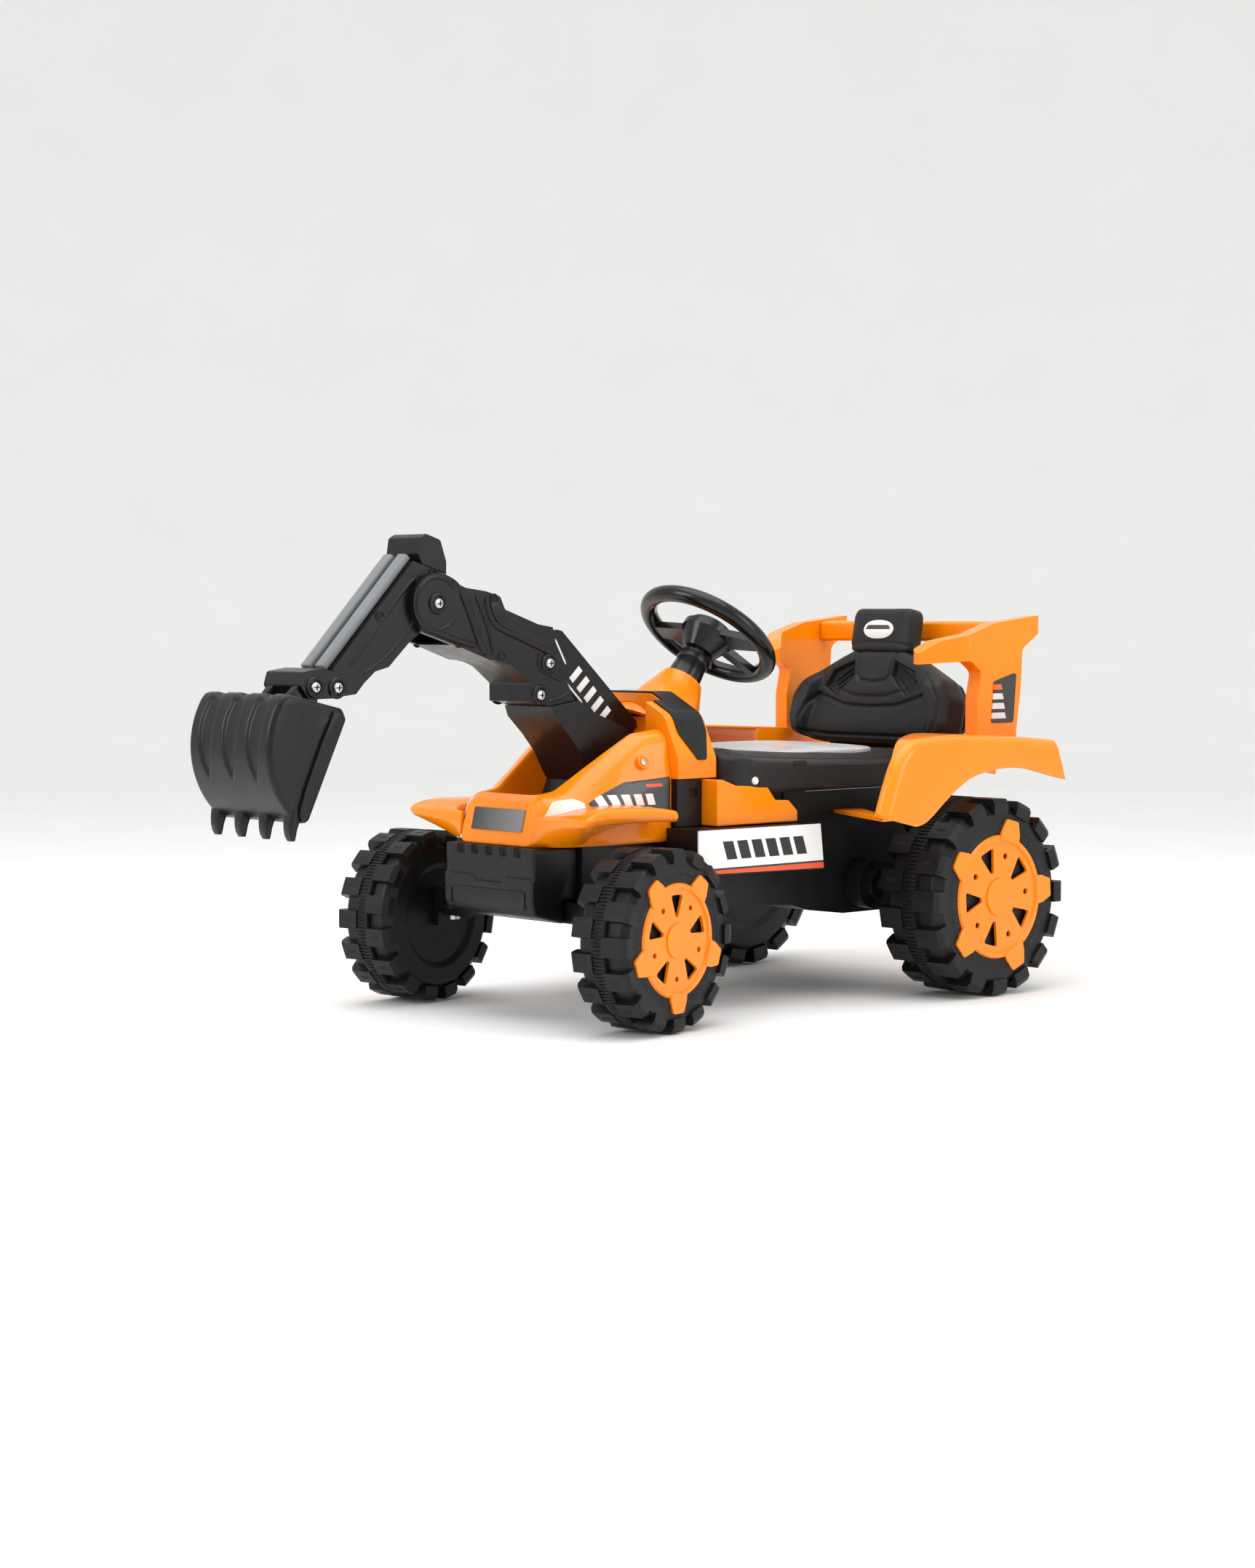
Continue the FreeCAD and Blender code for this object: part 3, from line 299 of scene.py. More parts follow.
def moulded(name, main, shade, rough, rough_spread, grain_mm, grain_depth_mm, flow_mm=90.0, coat=0.0,
            shine=0.3):
    """Injection- or blow-moulded plastic: two close shades that flow across the part, a fine surface
    grain in the bump, and a roughness that wanders where hands and cloths have rubbed it."""
    material, shader = started(name)
    where = add(material, "ShaderNodeTexCoord").outputs["Object"]
    flow = add(material, "ShaderNodeTexNoise", {"Vector": where, "Scale": per_mm(flow_mm), "Detail": 3.0,
                                                "Roughness": 0.5})
    tint = add(material, "ShaderNodeMix", {0: flow.outputs[0]}, data_type="RGBA")
    tint.inputs[6].default_value = colour(main)
    tint.inputs[7].default_value = colour(shade)
    join(material, tint.outputs[2], shader.inputs["Base Color"])
    rubbed = add(material, "ShaderNodeTexNoise", {"Vector": where, "Scale": per_mm(24.0), "Detail": 5.0,
                                                  "Roughness": 0.65})
    spread = add(material, "ShaderNodeMapRange",
                 {"Value": rubbed.outputs[0], "From Min": 0.3, "From Max": 0.7,
                                                  "To Min": rough - rough_spread,
                  "To Max": rough + rough_spread})
    join(material, spread.outputs[0], shader.inputs["Roughness"])
    grain = add(material, "ShaderNodeTexNoise", {"Vector": where, "Scale": per_mm(grain_mm), "Detail": 2.0,
                                                 "Roughness": 0.6})
    swell = add(material, "ShaderNodeTexNoise", {"Vector": where, "Scale": per_mm(45.0), "Detail": 1.0})
    wave = add(material, "ShaderNodeBump", {"Height": swell.outputs[0], "Strength": 0.35, "Distance": 0.0006})
    bump = add(material, "ShaderNodeBump", {"Height": grain.outputs[0], "Strength": 0.5,
                                            "Distance": grain_depth_mm * 0.001, "Normal": wave.outputs[0]})
    join(material, bump.outputs[0], shader.inputs["Normal"])
    shader.inputs["IOR"].default_value = 1.5
    shader.inputs["Specular IOR Level"].default_value = shine
    shader.inputs["Coat Weight"].default_value = coat
    shader.inputs["Coat Roughness"].default_value = 0.06
    return material


# Glossy orange ABS: the mould is polished, so the eye gets long soft highlights with a faint ripple,
# and warmer, redder orange where the wall turns away.
orange_abs = moulded("orange_abs_polished", "#FF8F00", "#FA8100", 0.24, 0.05, 1.4, 0.015, 120.0, coat=0.2,
                     shine=0.35)
# Black polypropylene with an etched mould: satin, with a grain that breaks up the highlight.
black_pp = moulded("black_polypropylene_grained", "#0D0D0E", "#141415", 0.38, 0.07, 1.1, 0.05)
# The digger arm is the same plastic off a smoother tool, so it shines a little more.
arm_pp = moulded("black_polypropylene_smooth", "#0C0C0D", "#131314", 0.33, 0.06, 2.0, 0.02)
# Dark grey plastic of the dash trim and the small covers.
dark_pp = moulded("dark_polypropylene", "#161617", "#1D1D1F", 0.30, 0.06, 1.6, 0.02)
# Polished black ABS of the steering wheel and the arm's cover.
gloss_abs = moulded("black_abs_polished", "#0B0B0C", "#111112", 0.22, 0.05, 2.4, 0.012, coat=0.15)
# Blow-moulded polyethylene of the wheels: waxy, a little uneven, duller than the body.
tyre_pe = moulded("black_polyethylene_blown", "#0E0E0F", "#171718", 0.42, 0.08, 0.9, 0.05, 60.0, shine=0.28)
# Light grey ABS of the two bars on the dipper.
grey_abs = moulded("light_grey_abs", "#6F7173", "#85878A", 0.36, 0.05, 1.8, 0.02)
# The sealed lead battery's ABS case, dull and plain.
battery_case = moulded("battery_case_abs", "#3A3D42", "#42464B", 0.5, 0.06, 1.2, 0.04)


def plated_steel(name):
    """Zinc-plated steel fastener: bright grey with fine turning marks and a slightly blue haze."""
    material, shader = started(name)
    where = add(material, "ShaderNodeTexCoord").outputs["Object"]
    stretched = add(material, "ShaderNodeMapping", {"Vector": where, "Scale": (6.0, 1.0, 1.0)})
    marks = add(material, "ShaderNodeTexNoise",
                {"Vector": stretched.outputs[0], "Scale": per_mm(1.5), "Detail": 4.0})
    ramp = add(material, "ShaderNodeMix", {0: marks.outputs[0]}, data_type="RGBA")
    ramp.inputs[6].default_value = colour("#B9BCC0")
    ramp.inputs[7].default_value = colour("#D6D7D8")
    join(material, ramp.outputs[2], shader.inputs["Base Color"])
    rough = add(material, "ShaderNodeMapRange", {"Value": marks.outputs[0], "To Min": 0.22, "To Max": 0.40})
    join(material, rough.outputs[0], shader.inputs["Roughness"])
    bump = add(material, "ShaderNodeBump", {"Height": marks.outputs[0], "Strength": 0.3, "Distance": 0.0001})
    join(material, bump.outputs[0], shader.inputs["Normal"])
    shader.inputs["Metallic"].default_value = 1.0
    return material


steel = plated_steel("zinc_plated_steel")


def coated_cloth(name, main, shade, rough, grain_mm, sheen):
    """Polyurethane leather: a pebble grain of small cells with creases between them, a broad soft
    highlight, and painted shade that darkens the creases."""
    material, shader = started(name)
    where = add(material, "ShaderNodeTexCoord").outputs["Object"]
    cells = add(material, "ShaderNodeTexVoronoi", {"Vector": where, "Scale": per_mm(grain_mm)},
                feature="DISTANCE_TO_EDGE")
    crease = add(material, "ShaderNodeMapRange", {"Value": cells.outputs["Distance"], "From Min": 0.0,
                                                  "From Max": 0.16, "To Min": 0.0, "To Max": 1.0})
    drift = add(material, "ShaderNodeTexNoise", {"Vector": where, "Scale": per_mm(55.0), "Detail": 3.0})
    tint = add(material, "ShaderNodeMix", {0: drift.outputs[0]}, data_type="RGBA")
    tint.inputs[6].default_value = colour(main)
    tint.inputs[7].default_value = colour(shade)
    # Painted shade: the base colour is multiplied down to 0.72 in the creases between the grain cells.
    dark = add(material, "ShaderNodeMapRange", {"Value": crease.outputs[0], "To Min": 0.72, "To Max": 1.0})
    deep = add(material, "ShaderNodeMix", {0: 1.0, 6: tint.outputs[2]}, data_type="RGBA",
               blend_type="MULTIPLY")
    join(material, dark.outputs[0], deep.inputs[7])
    join(material, deep.outputs[2], shader.inputs["Base Color"])
    worn = add(material, "ShaderNodeMapRange", {"Value": drift.outputs[0], "From Min": 0.35, "From Max": 0.65,
                                                "To Min": rough - 0.05, "To Max": rough + 0.07})
    join(material, worn.outputs[0], shader.inputs["Roughness"])
    puff = add(material, "ShaderNodeBump", {"Height": drift.outputs[0], "Strength": 0.4, "Distance": 0.002})
    pebble = add(material, "ShaderNodeBump",
                 {"Height": crease.outputs[0], "Strength": 0.45, "Distance": 0.0003,
                                              "Normal": puff.outputs[0]})
    join(material, pebble.outputs[0], shader.inputs["Normal"])
    shader.inputs["IOR"].default_value = 1.48
    shader.inputs["Specular IOR Level"].default_value = 0.35
    shader.inputs["Sheen Weight"].default_value = sheen
    shader.inputs["Sheen Roughness"].default_value = 0.5
    return material


# Real grain is about 1 mm; 2 mm keeps it visible from across the room.
seat_black = coated_cloth("black_pu_leather", "#101011", "#171718", 0.42, 2.0, 0.03)
seat_grey = coated_cloth("light_grey_pu_leather", "#C9CACB", "#D6D7D8", 0.24, 2.6, 0.0)


def label_film(name, ground, bands, slope=0.35, rough=0.28):
    """Printed vinyl label: a plain ground with slanted bars. Each band is (axis, from mm, to mm,
    lower mm, upper mm, colour): it shows where Y + slope * Z is between from and to, and Z is
    between lower and upper, both measured from the front axle and the floor."""
    material, shader = started(name)
    where = add(material, "ShaderNodeTexCoord").outputs["Object"]
    axes = add(material, "ShaderNodeSeparateXYZ", {0: where})
    lean = add(material, "ShaderNodeMath", {0: axes.outputs["Z"], 1: slope}, operation="MULTIPLY")
    along = add(material, "ShaderNodeMath", {0: axes.outputs["Y"], 1: lean.outputs[0]}, operation="ADD")
    print_noise = add(material, "ShaderNodeTexNoise", {"Vector": where, "Scale": per_mm(3.0), "Detail": 3.0})
    base = add(material, "ShaderNodeMix", {0: print_noise.outputs[0]}, data_type="RGBA")
    base.inputs[6].default_value = colour(ground[0])
    base.inputs[7].default_value = colour(ground[1])
    current = base.outputs[2]
    for first, last, lower, upper, ink in bands:
        tests = []
        for value, limit, kind in ((along.outputs[0], first * 0.001 + front_axle, "GREATER_THAN"),
                                   (along.outputs[0], last * 0.001 + front_axle, "LESS_THAN"),
                                   (axes.outputs["Z"], lower * 0.001, "GREATER_THAN"),
                                   (axes.outputs["Z"], upper * 0.001, "LESS_THAN")):
            tests.append(add(material, "ShaderNodeMath", {0: value, 1: limit}, operation=kind).outputs[0])
        inside = tests[0]
        for test in tests[1:]:
            inside = add(material, "ShaderNodeMath", {0: inside, 1: test}, operation="MULTIPLY").outputs[0]
        layer = add(material, "ShaderNodeMix", {0: inside, 6: current}, data_type="RGBA")
        layer.inputs[7].default_value = colour(ink)
        current = layer.outputs[2]
    join(material, current, shader.inputs["Base Color"])
    gloss = add(material, "ShaderNodeMapRange", {"Value": print_noise.outputs[0], "To Min": rough - 0.05,
                                                 "To Max": rough + 0.08})
    join(material, gloss.outputs[0], shader.inputs["Roughness"])
    bump = add(material, "ShaderNodeBump",
               {"Height": print_noise.outputs[0], "Strength": 0.15, "Distance": 0.0001})
    join(material, bump.outputs[0], shader.inputs["Normal"])
    return material


hood_label = label_film("vinyl_label_dark_bars", ("#3A3A3C", "#47474A"), [
    (118, 130, 262, 276, "#EDEDED"), (136, 148, 262, 276, "#EDEDED"), (154, 166, 262, 276, "#EDEDED"),
    (172, 184, 262, 276, "#EDEDED"), (190, 202, 262, 276, "#EDEDED"), (196, 222, 284, 288, "#E4501E")])
side_label = label_film("vinyl_label_white_band", ("#E9E9E8", "#F4F4F3"), [
    (-2000, 2000, 168, 180.5, "#E4572A"), (-2000, 2000, 180.5, 183, "#2A2A2A"),
    (245, 263, 193, 216, "#1C1C1C"), (270, 288, 193, 216, "#1C1C1C"), (295, 313, 193, 216, "#1C1C1C"),
    (320, 338, 193, 216, "#1C1C1C"), (345, 363, 193, 216, "#1C1C1C"), (370, 388, 193, 216, "#1C1C1C")])
bar_label = label_film("vinyl_label_roll_bar", ("#2B2B2D", "#39393B"), [
    (780, 810, 358, 366, "#D7D7D7"), (780, 812, 371, 379, "#D7D7D7"), (780, 814, 384, 392, "#D7D7D7"),
    (780, 816, 397, 404, "#E0662F")])
badge_face = label_film("badge_face_print", ("#E6E4E1", "#F2F1EF"), [
    (800, 815, 478, 484, "#3A3A3A"), (815, 823, 476, 486, "#D8582C")])


def plate_metal(name):
    """Thin anodised plate, satin, with painted light: darker at one end and lighter towards the other, across X.
    """
    material, shader = started(name)
    where = add(material, "ShaderNodeTexCoord").outputs["Object"]
    axes = add(material, "ShaderNodeSeparateXYZ", {0: where})
    # Painted light: dark grey at one end of the plate's X, light grey at the other.
    painted_light_ramp = add(material, "ShaderNodeMapRange",
               {"Value": axes.outputs["X"], "From Min": -0.044, "From Max": 0.044,
                                                "To Min": 0.15, "To Max": 0.9})
    tint = add(material, "ShaderNodeMix", {0: painted_light_ramp.outputs[0]}, data_type="RGBA")
    tint.inputs[6].default_value = colour("#2B2B2C")
    tint.inputs[7].default_value = colour("#8D8D8D")
    join(material, tint.outputs[2], shader.inputs["Base Color"])
    brush = add(material, "ShaderNodeMapping", {"Vector": where, "Scale": (1.0, 1.0, 30.0)})
    lines = add(material, "ShaderNodeTexNoise",
                {"Vector": brush.outputs[0], "Scale": per_mm(12.0), "Detail": 5.0})
    rough = add(material, "ShaderNodeMapRange", {"Value": lines.outputs[0], "To Min": 0.28, "To Max": 0.46})
    join(material, rough.outputs[0], shader.inputs["Roughness"])
    bump = add(material, "ShaderNodeBump", {"Height": lines.outputs[0], "Strength": 0.2, "Distance": 0.0001})
    join(material, bump.outputs[0], shader.inputs["Normal"])
    shader.inputs["Metallic"].default_value = 0.35
    return material


blank_plate = plate_metal("anodised_plate_blank")


def clear_lens(name):
    """Frosted polycarbonate lamp lens over a pale reflector: milky, with fine vertical flutes 3 mm apart."""
    material, shader = started(name)
    where = add(material, "ShaderNodeTexCoord").outputs["Object"]
    flutes = add(material, "ShaderNodeTexWave",
                 {"Vector": where, "Scale": per_mm(3.0) / 20, "Distortion": 0.2},
                 bands_direction="Y")
    patch = add(material, "ShaderNodeTexNoise", {"Vector": where, "Scale": per_mm(18.0), "Detail": 2.0})
    tint = add(material, "ShaderNodeMix", {0: patch.outputs[0]}, data_type="RGBA")
    tint.inputs[6].default_value = colour("#F3D9C8")
    tint.inputs[7].default_value = colour("#F8F1EC")
    join(material, tint.outputs[2], shader.inputs["Base Color"])
    bump = add(material, "ShaderNodeBump", {"Height": flutes.outputs[0], "Strength": 0.5, "Distance": 0.0005})
    join(material, bump.outputs[0], shader.inputs["Normal"])
    shader.inputs["Roughness"].default_value = 0.12
    shader.inputs["Subsurface Weight"].default_value = 0.4
    shader.inputs["Subsurface Radius"].default_value = (0.012, 0.008, 0.006)
    shader.inputs["Coat Weight"].default_value = 0.6
    return material


lens = clear_lens("frosted_polycarbonate_lens")


def recess_shade_black(name):
    """Painted shade for the dark inside of screw wells, slots and recesses: dull near-black plastic with a little
    dust.
    """
    material, shader = started(name)
    where = add(material, "ShaderNodeTexCoord").outputs["Object"]
    dust = add(material, "ShaderNodeTexNoise", {"Vector": where, "Scale": per_mm(2.0), "Detail": 4.0})
    tint = add(material, "ShaderNodeMix", {0: dust.outputs[0]}, data_type="RGBA")
    tint.inputs[6].default_value = colour("#050505")
    tint.inputs[7].default_value = colour("#101010")
    join(material, tint.outputs[2], shader.inputs["Base Color"])
    shader.inputs["Roughness"].default_value = 0.8
    return material


# Painted shade: near-black, duller than the plastic round it, used where a hole or slot would be in shade.
well_shade_black = recess_shade_black("black_plastic_unlit_well")
white_abs = moulded("white_abs", "#E8E8E6", "#F2F2F0", 0.28, 0.04, 1.8, 0.01)
white_line = moulded("white_vinyl_line", "#DADADA", "#E8E8E8", 0.35, 0.05, 1.5, 0.01)

slot_materials = {
    "orange_plastic": orange_abs, "black_plastic": black_pp, "dark_plastic": dark_pp,
                  "gloss_black": gloss_abs,
    "tyre_plastic": tyre_pe, "steel": steel, "grey_plastic": grey_abs, "plate": blank_plate,
    "white_label": side_label, "lens": lens, "battery_case": battery_case, "seat_black": seat_black,
    "seat_grey": seat_grey,
}

# ------------------------------------------------------------------ camera, floor and light
azimuth = math.radians(47.5)
elevation = math.radians(3.29)
back = Vector((math.sin(azimuth) * math.cos(elevation), -math.cos(azimuth) * math.cos(elevation),
               math.sin(elevation)))
camera = bpy.data.objects.new("camera", bpy.data.cameras.new("camera"))
camera.data.lens = 4000.0 / 2156.0 * 36.0
camera.data.sensor_width = 36.0
camera.data.clip_start = 0.05
camera.data.clip_end = 60.0
camera.location = place((2750.0, -2355.1, 495.2)).tolist()
camera.rotation_mode = "QUATERNION"
camera.rotation_quaternion = (-back).to_track_quat("-Z", "Y")
bpy.context.scene.collection.objects.link(camera)
bpy.context.scene.camera = camera


def floor_finish(name):
    """Pale painted studio floor, matt, with a barely visible mottle."""
    material, shader = started(name)
    where = add(material, "ShaderNodeTexCoord").outputs["Object"]
    mottle = add(material, "ShaderNodeTexNoise", {"Vector": where, "Scale": 3.0, "Detail": 4.0})
    tint = add(material, "ShaderNodeMix", {0: mottle.outputs[0]}, data_type="RGBA")
    tint.inputs[6].default_value = colour("#F1F1F0")
    tint.inputs[7].default_value = colour("#F6F6F5")
    join(material, tint.outputs[2], shader.inputs["Base Color"])
    shader.inputs["Roughness"].default_value = 0.9
    shader.inputs["Specular IOR Level"].default_value = 0.1
    return material


def floor_bowl():
    """Flat to 5 m from the middle, then turning up on a 3 m radius into a 7 m high wall, so that the
    background has no horizon; metres."""
    turn = np.radians(np.linspace(0, 90, 19))
    reach = np.concatenate([[0.01, 2.5, 5.0], 5.0 + 3.0 * np.sin(turn[1:]), [8.0]])
    height = np.concatenate([[0.0, 0.0, 0.0], 3.0 - 3.0 * np.cos(turn[1:]), [7.0]])
    around = 96
    angle = np.linspace(0, 2 * math.pi, around, endpoint=False)[None, :]
    ring = [reach[:, None] * np.cos(angle), reach[:, None] * np.sin(angle),
            np.repeat(height[:, None], around, 1)]
    points, faces = shell(np.stack(ring, -1), wrap_columns=True)
    return points.tolist(), [face[::-1] for face in faces] + [list(range(around))]


floor_mesh = bpy.data.meshes.new("floor")
floor_points, floor_faces = floor_bowl()
floor_mesh.from_pydata(floor_points, [], floor_faces)
floor_mesh.shade_smooth()
floor = bpy.data.objects.new("floor", floor_mesh)
bpy.context.scene.collection.objects.link(floor)
floor_mesh.materials.append(floor_finish("painted_floor_pale"))
floor.location = (0, 0, -0.0022)

world = bpy.data.worlds.new("studio")
bpy.context.scene.world = world
world.use_nodes = True
world.node_tree.nodes["Background"].inputs["Color"].default_value = (1.0, 1.0, 1.0, 1.0)
world.node_tree.nodes["Background"].inputs["Strength"].default_value = 1.0
bpy.context.scene.view_settings.view_transform = "Standard"
bpy.context.scene.view_settings.look = "None"


def softbox(name, position, target, wide, high, power, tint=(1.0, 1.0, 1.0)):
    """Rectangular studio light facing its target; positions in metres."""
    light = bpy.data.lights.new(name, "AREA")
    light.shape = "RECTANGLE"
    light.size = wide
    light.size_y = high
    light.energy = power
    light.color = tint
    lamp = bpy.data.objects.new(name, light)
    lamp.location = position
    lamp.rotation_mode = "QUATERNION"
    lamp.rotation_quaternion = (Vector(target) - Vector(position)).to_track_quat("-Z", "Y")
    bpy.context.scene.collection.objects.link(lamp)


softbox("top_softbox", (0.3, -0.2, 2.6), (0.0, 0.0, 0.2), 2.4, 2.4, 42.0)
softbox("front_left_softbox", (-0.6, -2.6, 1.5), (0.0, 0.0, 0.3), 1.4, 1.4, 26.0)
softbox("side_softbox", (2.6, 0.9, 1.2), (0.0, 0.0, 0.3), 1.2, 1.6, 18.0)

# ------------------------------------------------------------------ moulded CAD parts with rounded edges
edges = {
    "cowl": 2.0, "column_cover": 1.6, "body_shell": 2.0, "flank_panels": 1.2, "chassis": 1.8,
    "rear_deck": 1.6, "roll_bars": 3.0, "roll_cross_bar": 2.5, "back_shell": 3.0,
    "arm_post": 2.2, "boom_left": 2.2, "boom_right": 2.2, "boom_cover": 1.6, "dipper_left": 2.0,
    "dipper_right": 2.0, "dipper_cap": 2.5, "bucket_bracket": 1.2, "steering_wheel": 1.2, "steering_pad": 1.5,
    "column_collar": 1.0, "drive_units": 1.5, "dash_band": 0.6, "pedal": 0.8, "front_axle_beam": 1.5,
    "tyre_front_left": 1.4, "tyre_front_right": 1.4, "tyre_rear_left": 1.6, "tyre_rear_right": 1.6,
    "number_plate": 0.5, "battery": 1.5,
}
arm_nodes = ("arm_post", "boom_left", "boom_right", "dipper_left", "dipper_right", "dipper_cap",
             "bucket_bracket")
for node, width in edges.items():
    finish = arm_pp if node in arm_nodes else slot_materials[slot_of_node[node]]
    softened(node, finish, width)
for node in frame["nodes"]:
    if node not in edges:
        painted(node, slot_materials[slot_of_node[node]])
painted("roll_bar_plates", bar_label)
painted("side_plates", side_label)


# ------------------------------------------------------------------ hood
def through(y, stations, values):
    """Smooth curve through the station values: straight interpolation, then a running mean 14 mm wide."""
    fine = np.arange(-90.0, 170.0, 2.0)
    line = np.interp(fine, stations, values)
    weight = np.array([1, 2, 3, 4, 3, 2, 1], float)
    line = np.convolve(np.pad(line, 3, mode="edge"), weight / weight.sum(), "valid")
    return np.interp(y, fine, line)


hood_y = [-58, -50, -30, -8, 29, 62, 96, 136.5]
hood_x = [[64, 75, 93, 104, 111, 111.5, 111.5, 111.5], [68, 77, 90, 98, 104, 107, 110, 112],
          [63, 70, 74, 75, 84, 92, 99, 104], [56, 60, 58, 57, 66, 75, 85, 90]]
hood_z = [[214, 214, 214, 214, 214, 214, 214, 214], [232, 235, 240, 245, 258, 270, 280, 290],
          [262, 266, 269, 274, 295, 317, 338, 344], [270, 277, 278, 281, 306, 328, 350, 355]]


def nose_y(y, z):
    """The nose leans back: y + 0.25 * (z - 214) at the very front, fading out by y = -30."""
    return y + 0.25 * np.maximum(z - 214, 0) * smooth_step((-30 - y) / 26)


def hood_outer(y, level):
    """X and Z of the hood's outer line `level` (0 at the base, 3 at the rim) along y."""
    return through(y, hood_y, hood_x[level]), through(y, hood_y, hood_z[level])


def hood_surface():
    """Sections across the hood, one for each y: up the side, over the rim, down into the arm's well,
    across its floor and up the other side, with each corner cut twice so that it reads as round."""
    y = np.concatenate([[-58.4, -58.3, -57.9], np.arange(-57, -38, 2.4), np.linspace(-37.5, -32, 5),
                        np.arange(-29, 126, 4.0), [127, 128.2, 130, 133, 136.4]])
    shrink = np.interp(y, [-58.4, -58.3, -57.9, -57, -54], [5.0, 3.2, 1.6, 0.6, 0.0])
    lines = [hood_outer(y, level) for level in range(4)]
    rim = lines[3][1]
    inner = np.minimum(np.interp(y, [-58, -38, -8, 62, 127, 137], [34, 46, 51, 67, 80, 82]), lines[3][0] - 5)
    bottom = np.interp(y, [-38, -8, 62, 127], [44, 50, 64, 78])
    depth = smooth_step((y + 37.5) / 4)
    floor_z = np.interp(y, [95, 127, 128.2], [228, 269, 334])
    floor_z = rim - 1 + (floor_z - rim + 1) * depth
    bottom = inner - 3 + (bottom - inner + 3) * depth
    half = [(line[0] - shrink, np.clip(line[1], 214 + shrink, rim - shrink)) for line in lines]
    half += [(inner, rim - shrink - 0.5), (bottom, np.minimum(floor_z, rim - shrink - 0.8)),
             (bottom * 0.5, np.minimum(floor_z, rim - shrink - 0.8))]
    right = np.stack([np.stack([x, nose_y(y, z), z], -1) for x, z in half], 1)
    left = right[:, ::-1] * np.array([-1.0, 1.0, 1.0])
    loop = np.concatenate([right, left], 1)
    return shell(corners_cut(corners_cut(loop, 5.0), 1.8), wrap_columns=True, caps=True)


make("hood_shell", [hood_surface()], orange_abs, "chassis", stands_for=["hood"], sharp=50)


def hood_side(y, z, lift):
    """Points on the hood's flank at (y, z), standing `lift` proud of it."""
    xs = np.stack([hood_outer(y, level)[0] for level in range(4)], -1)
    zs = np.stack([hood_outer(y, level)[1] for level in range(4)], -1)
    x = np.array([np.interp(v, zs[k], xs[k]) for k, v in enumerate(z)])
    return np.stack([x + lift, nose_y(y, z) - lift * 0.5 * (y < -20), z], -1)


def hood_patch(first, last, lower, upper, lift, steps=40, across=14):
    """Label on the hood: rows run between the lower and the upper line as y goes from first to last."""
    rows = []
    for share in np.linspace(0, 1, across):
        y = np.linspace(first, last, steps)
        low = np.interp(y, *lower)
        high = np.interp(y, *upper)
        rows.append(hood_side(y, low + (high - low) * share, lift))
    return shell(np.array(rows))


def thickened(piece, millimetres, offset=1.0):
    """Gives a sheet its thickness."""
    solid = piece.modifiers.new("thickness", "SOLIDIFY")
    solid.thickness = millimetres * 0.001
    solid.offset = offset
    return piece


lamp_lower = ([-50, -40, -9, 10], [247, 238, 251, 262])
lamp_upper = ([-50, -28, -1, 10], [250, 269, 272, 266])
lamp_patch = hood_patch(-50, 9, lamp_lower, lamp_upper, 0.5, steps=30, across=12)
lamps = make("headlight_lenses", pair(lamp_patch), lens, "chassis", stands_for=["headlights"],
             facing=(0, -10, 255))
thickened(lamps, 1.6)
screw_head = [(-0.5, 4.2), (0.6, 4.2), (1.0, 3.0), (1.1, 0.2)]
screw_ring = [(-1.0, 9.0), (1.1, 8.6), (1.7, 7.4), (1.2, 6.2), (0.2, 5.6), (0.1, 0.2)]
make("hood_screw_wells", pair(lathe(screw_ring, (106.0, 94, 315), (0.92, 0, 0.39), (0, 1, 0), 28)),
     orange_abs,
     "chassis")
make("hood_screws", pair(lathe(screw_head, (107.2, 94, 315.4), (0.92, 0, 0.39), (0, 1, 0), 20)), steel,
     "chassis")

for sign, side_name in ((1, "left"), (-1, "right")):
    patch = hood_patch(15, 134, ([13, 65, 134], [264.0, 256, 248]), ([13, 33, 65, 134], [266, 277, 291, 296]),
                       0.2)
    patch = patch if sign == 1 else mirrored(patch)
    thickened(make("hood_label_" + side_name, [patch], hood_label, "chassis",
                   facing=(0, 70, 260)), 0.4)


# ------------------------------------------------------------------ front mudguards
wing_round = 4.5


def front_guard():
    """Wing beside the hood, lofted through five rings of four corners (inner top, outer top, outer
    bottom, inner bottom). It starts as a line down the hood's corner, sweeps out and up to the tip,
    runs level over the wheel and ends square; smooth curves join the rings."""
    rings = np.array([
        [(70, -48, 252), (72, -51, 252), (70, -54, 244), (68, -57, 215)],
        [(98, -34, 258), (165, -58, 254), (166, -59, 245), (112, -20, 215)],
        [(98, -8, 262), (167, -26, 263), (167.5, -26, 248), (112, 4, 226)],
        [(98, 60, 264), (167, 60, 262), (167.5, 60, 246), (110, 60, 240)],
        [(100, 101, 259), (162, 101, 257), (162, 101, 243), (110, 101, 243)]], float)
    columns = [smooth_path(rings[:, k], 6.0) for k in range(4)]
    steps = 44
    share = np.linspace(0, 1, steps)
    rows = []
    for column in columns:
        own = np.linspace(0, 1, len(column))
        rows.append(np.stack([np.interp(share, own, column[:, k]) for k in range(3)], -1))
    return shell(corners_cut(corners_cut(np.stack(rows, 1), wing_round), wing_round * 0.4), wrap_columns=True,
                 caps=True)


make("front_wings", pair(front_guard()), orange_abs, "chassis", stands_for=["mudguards_front"], sharp=50)


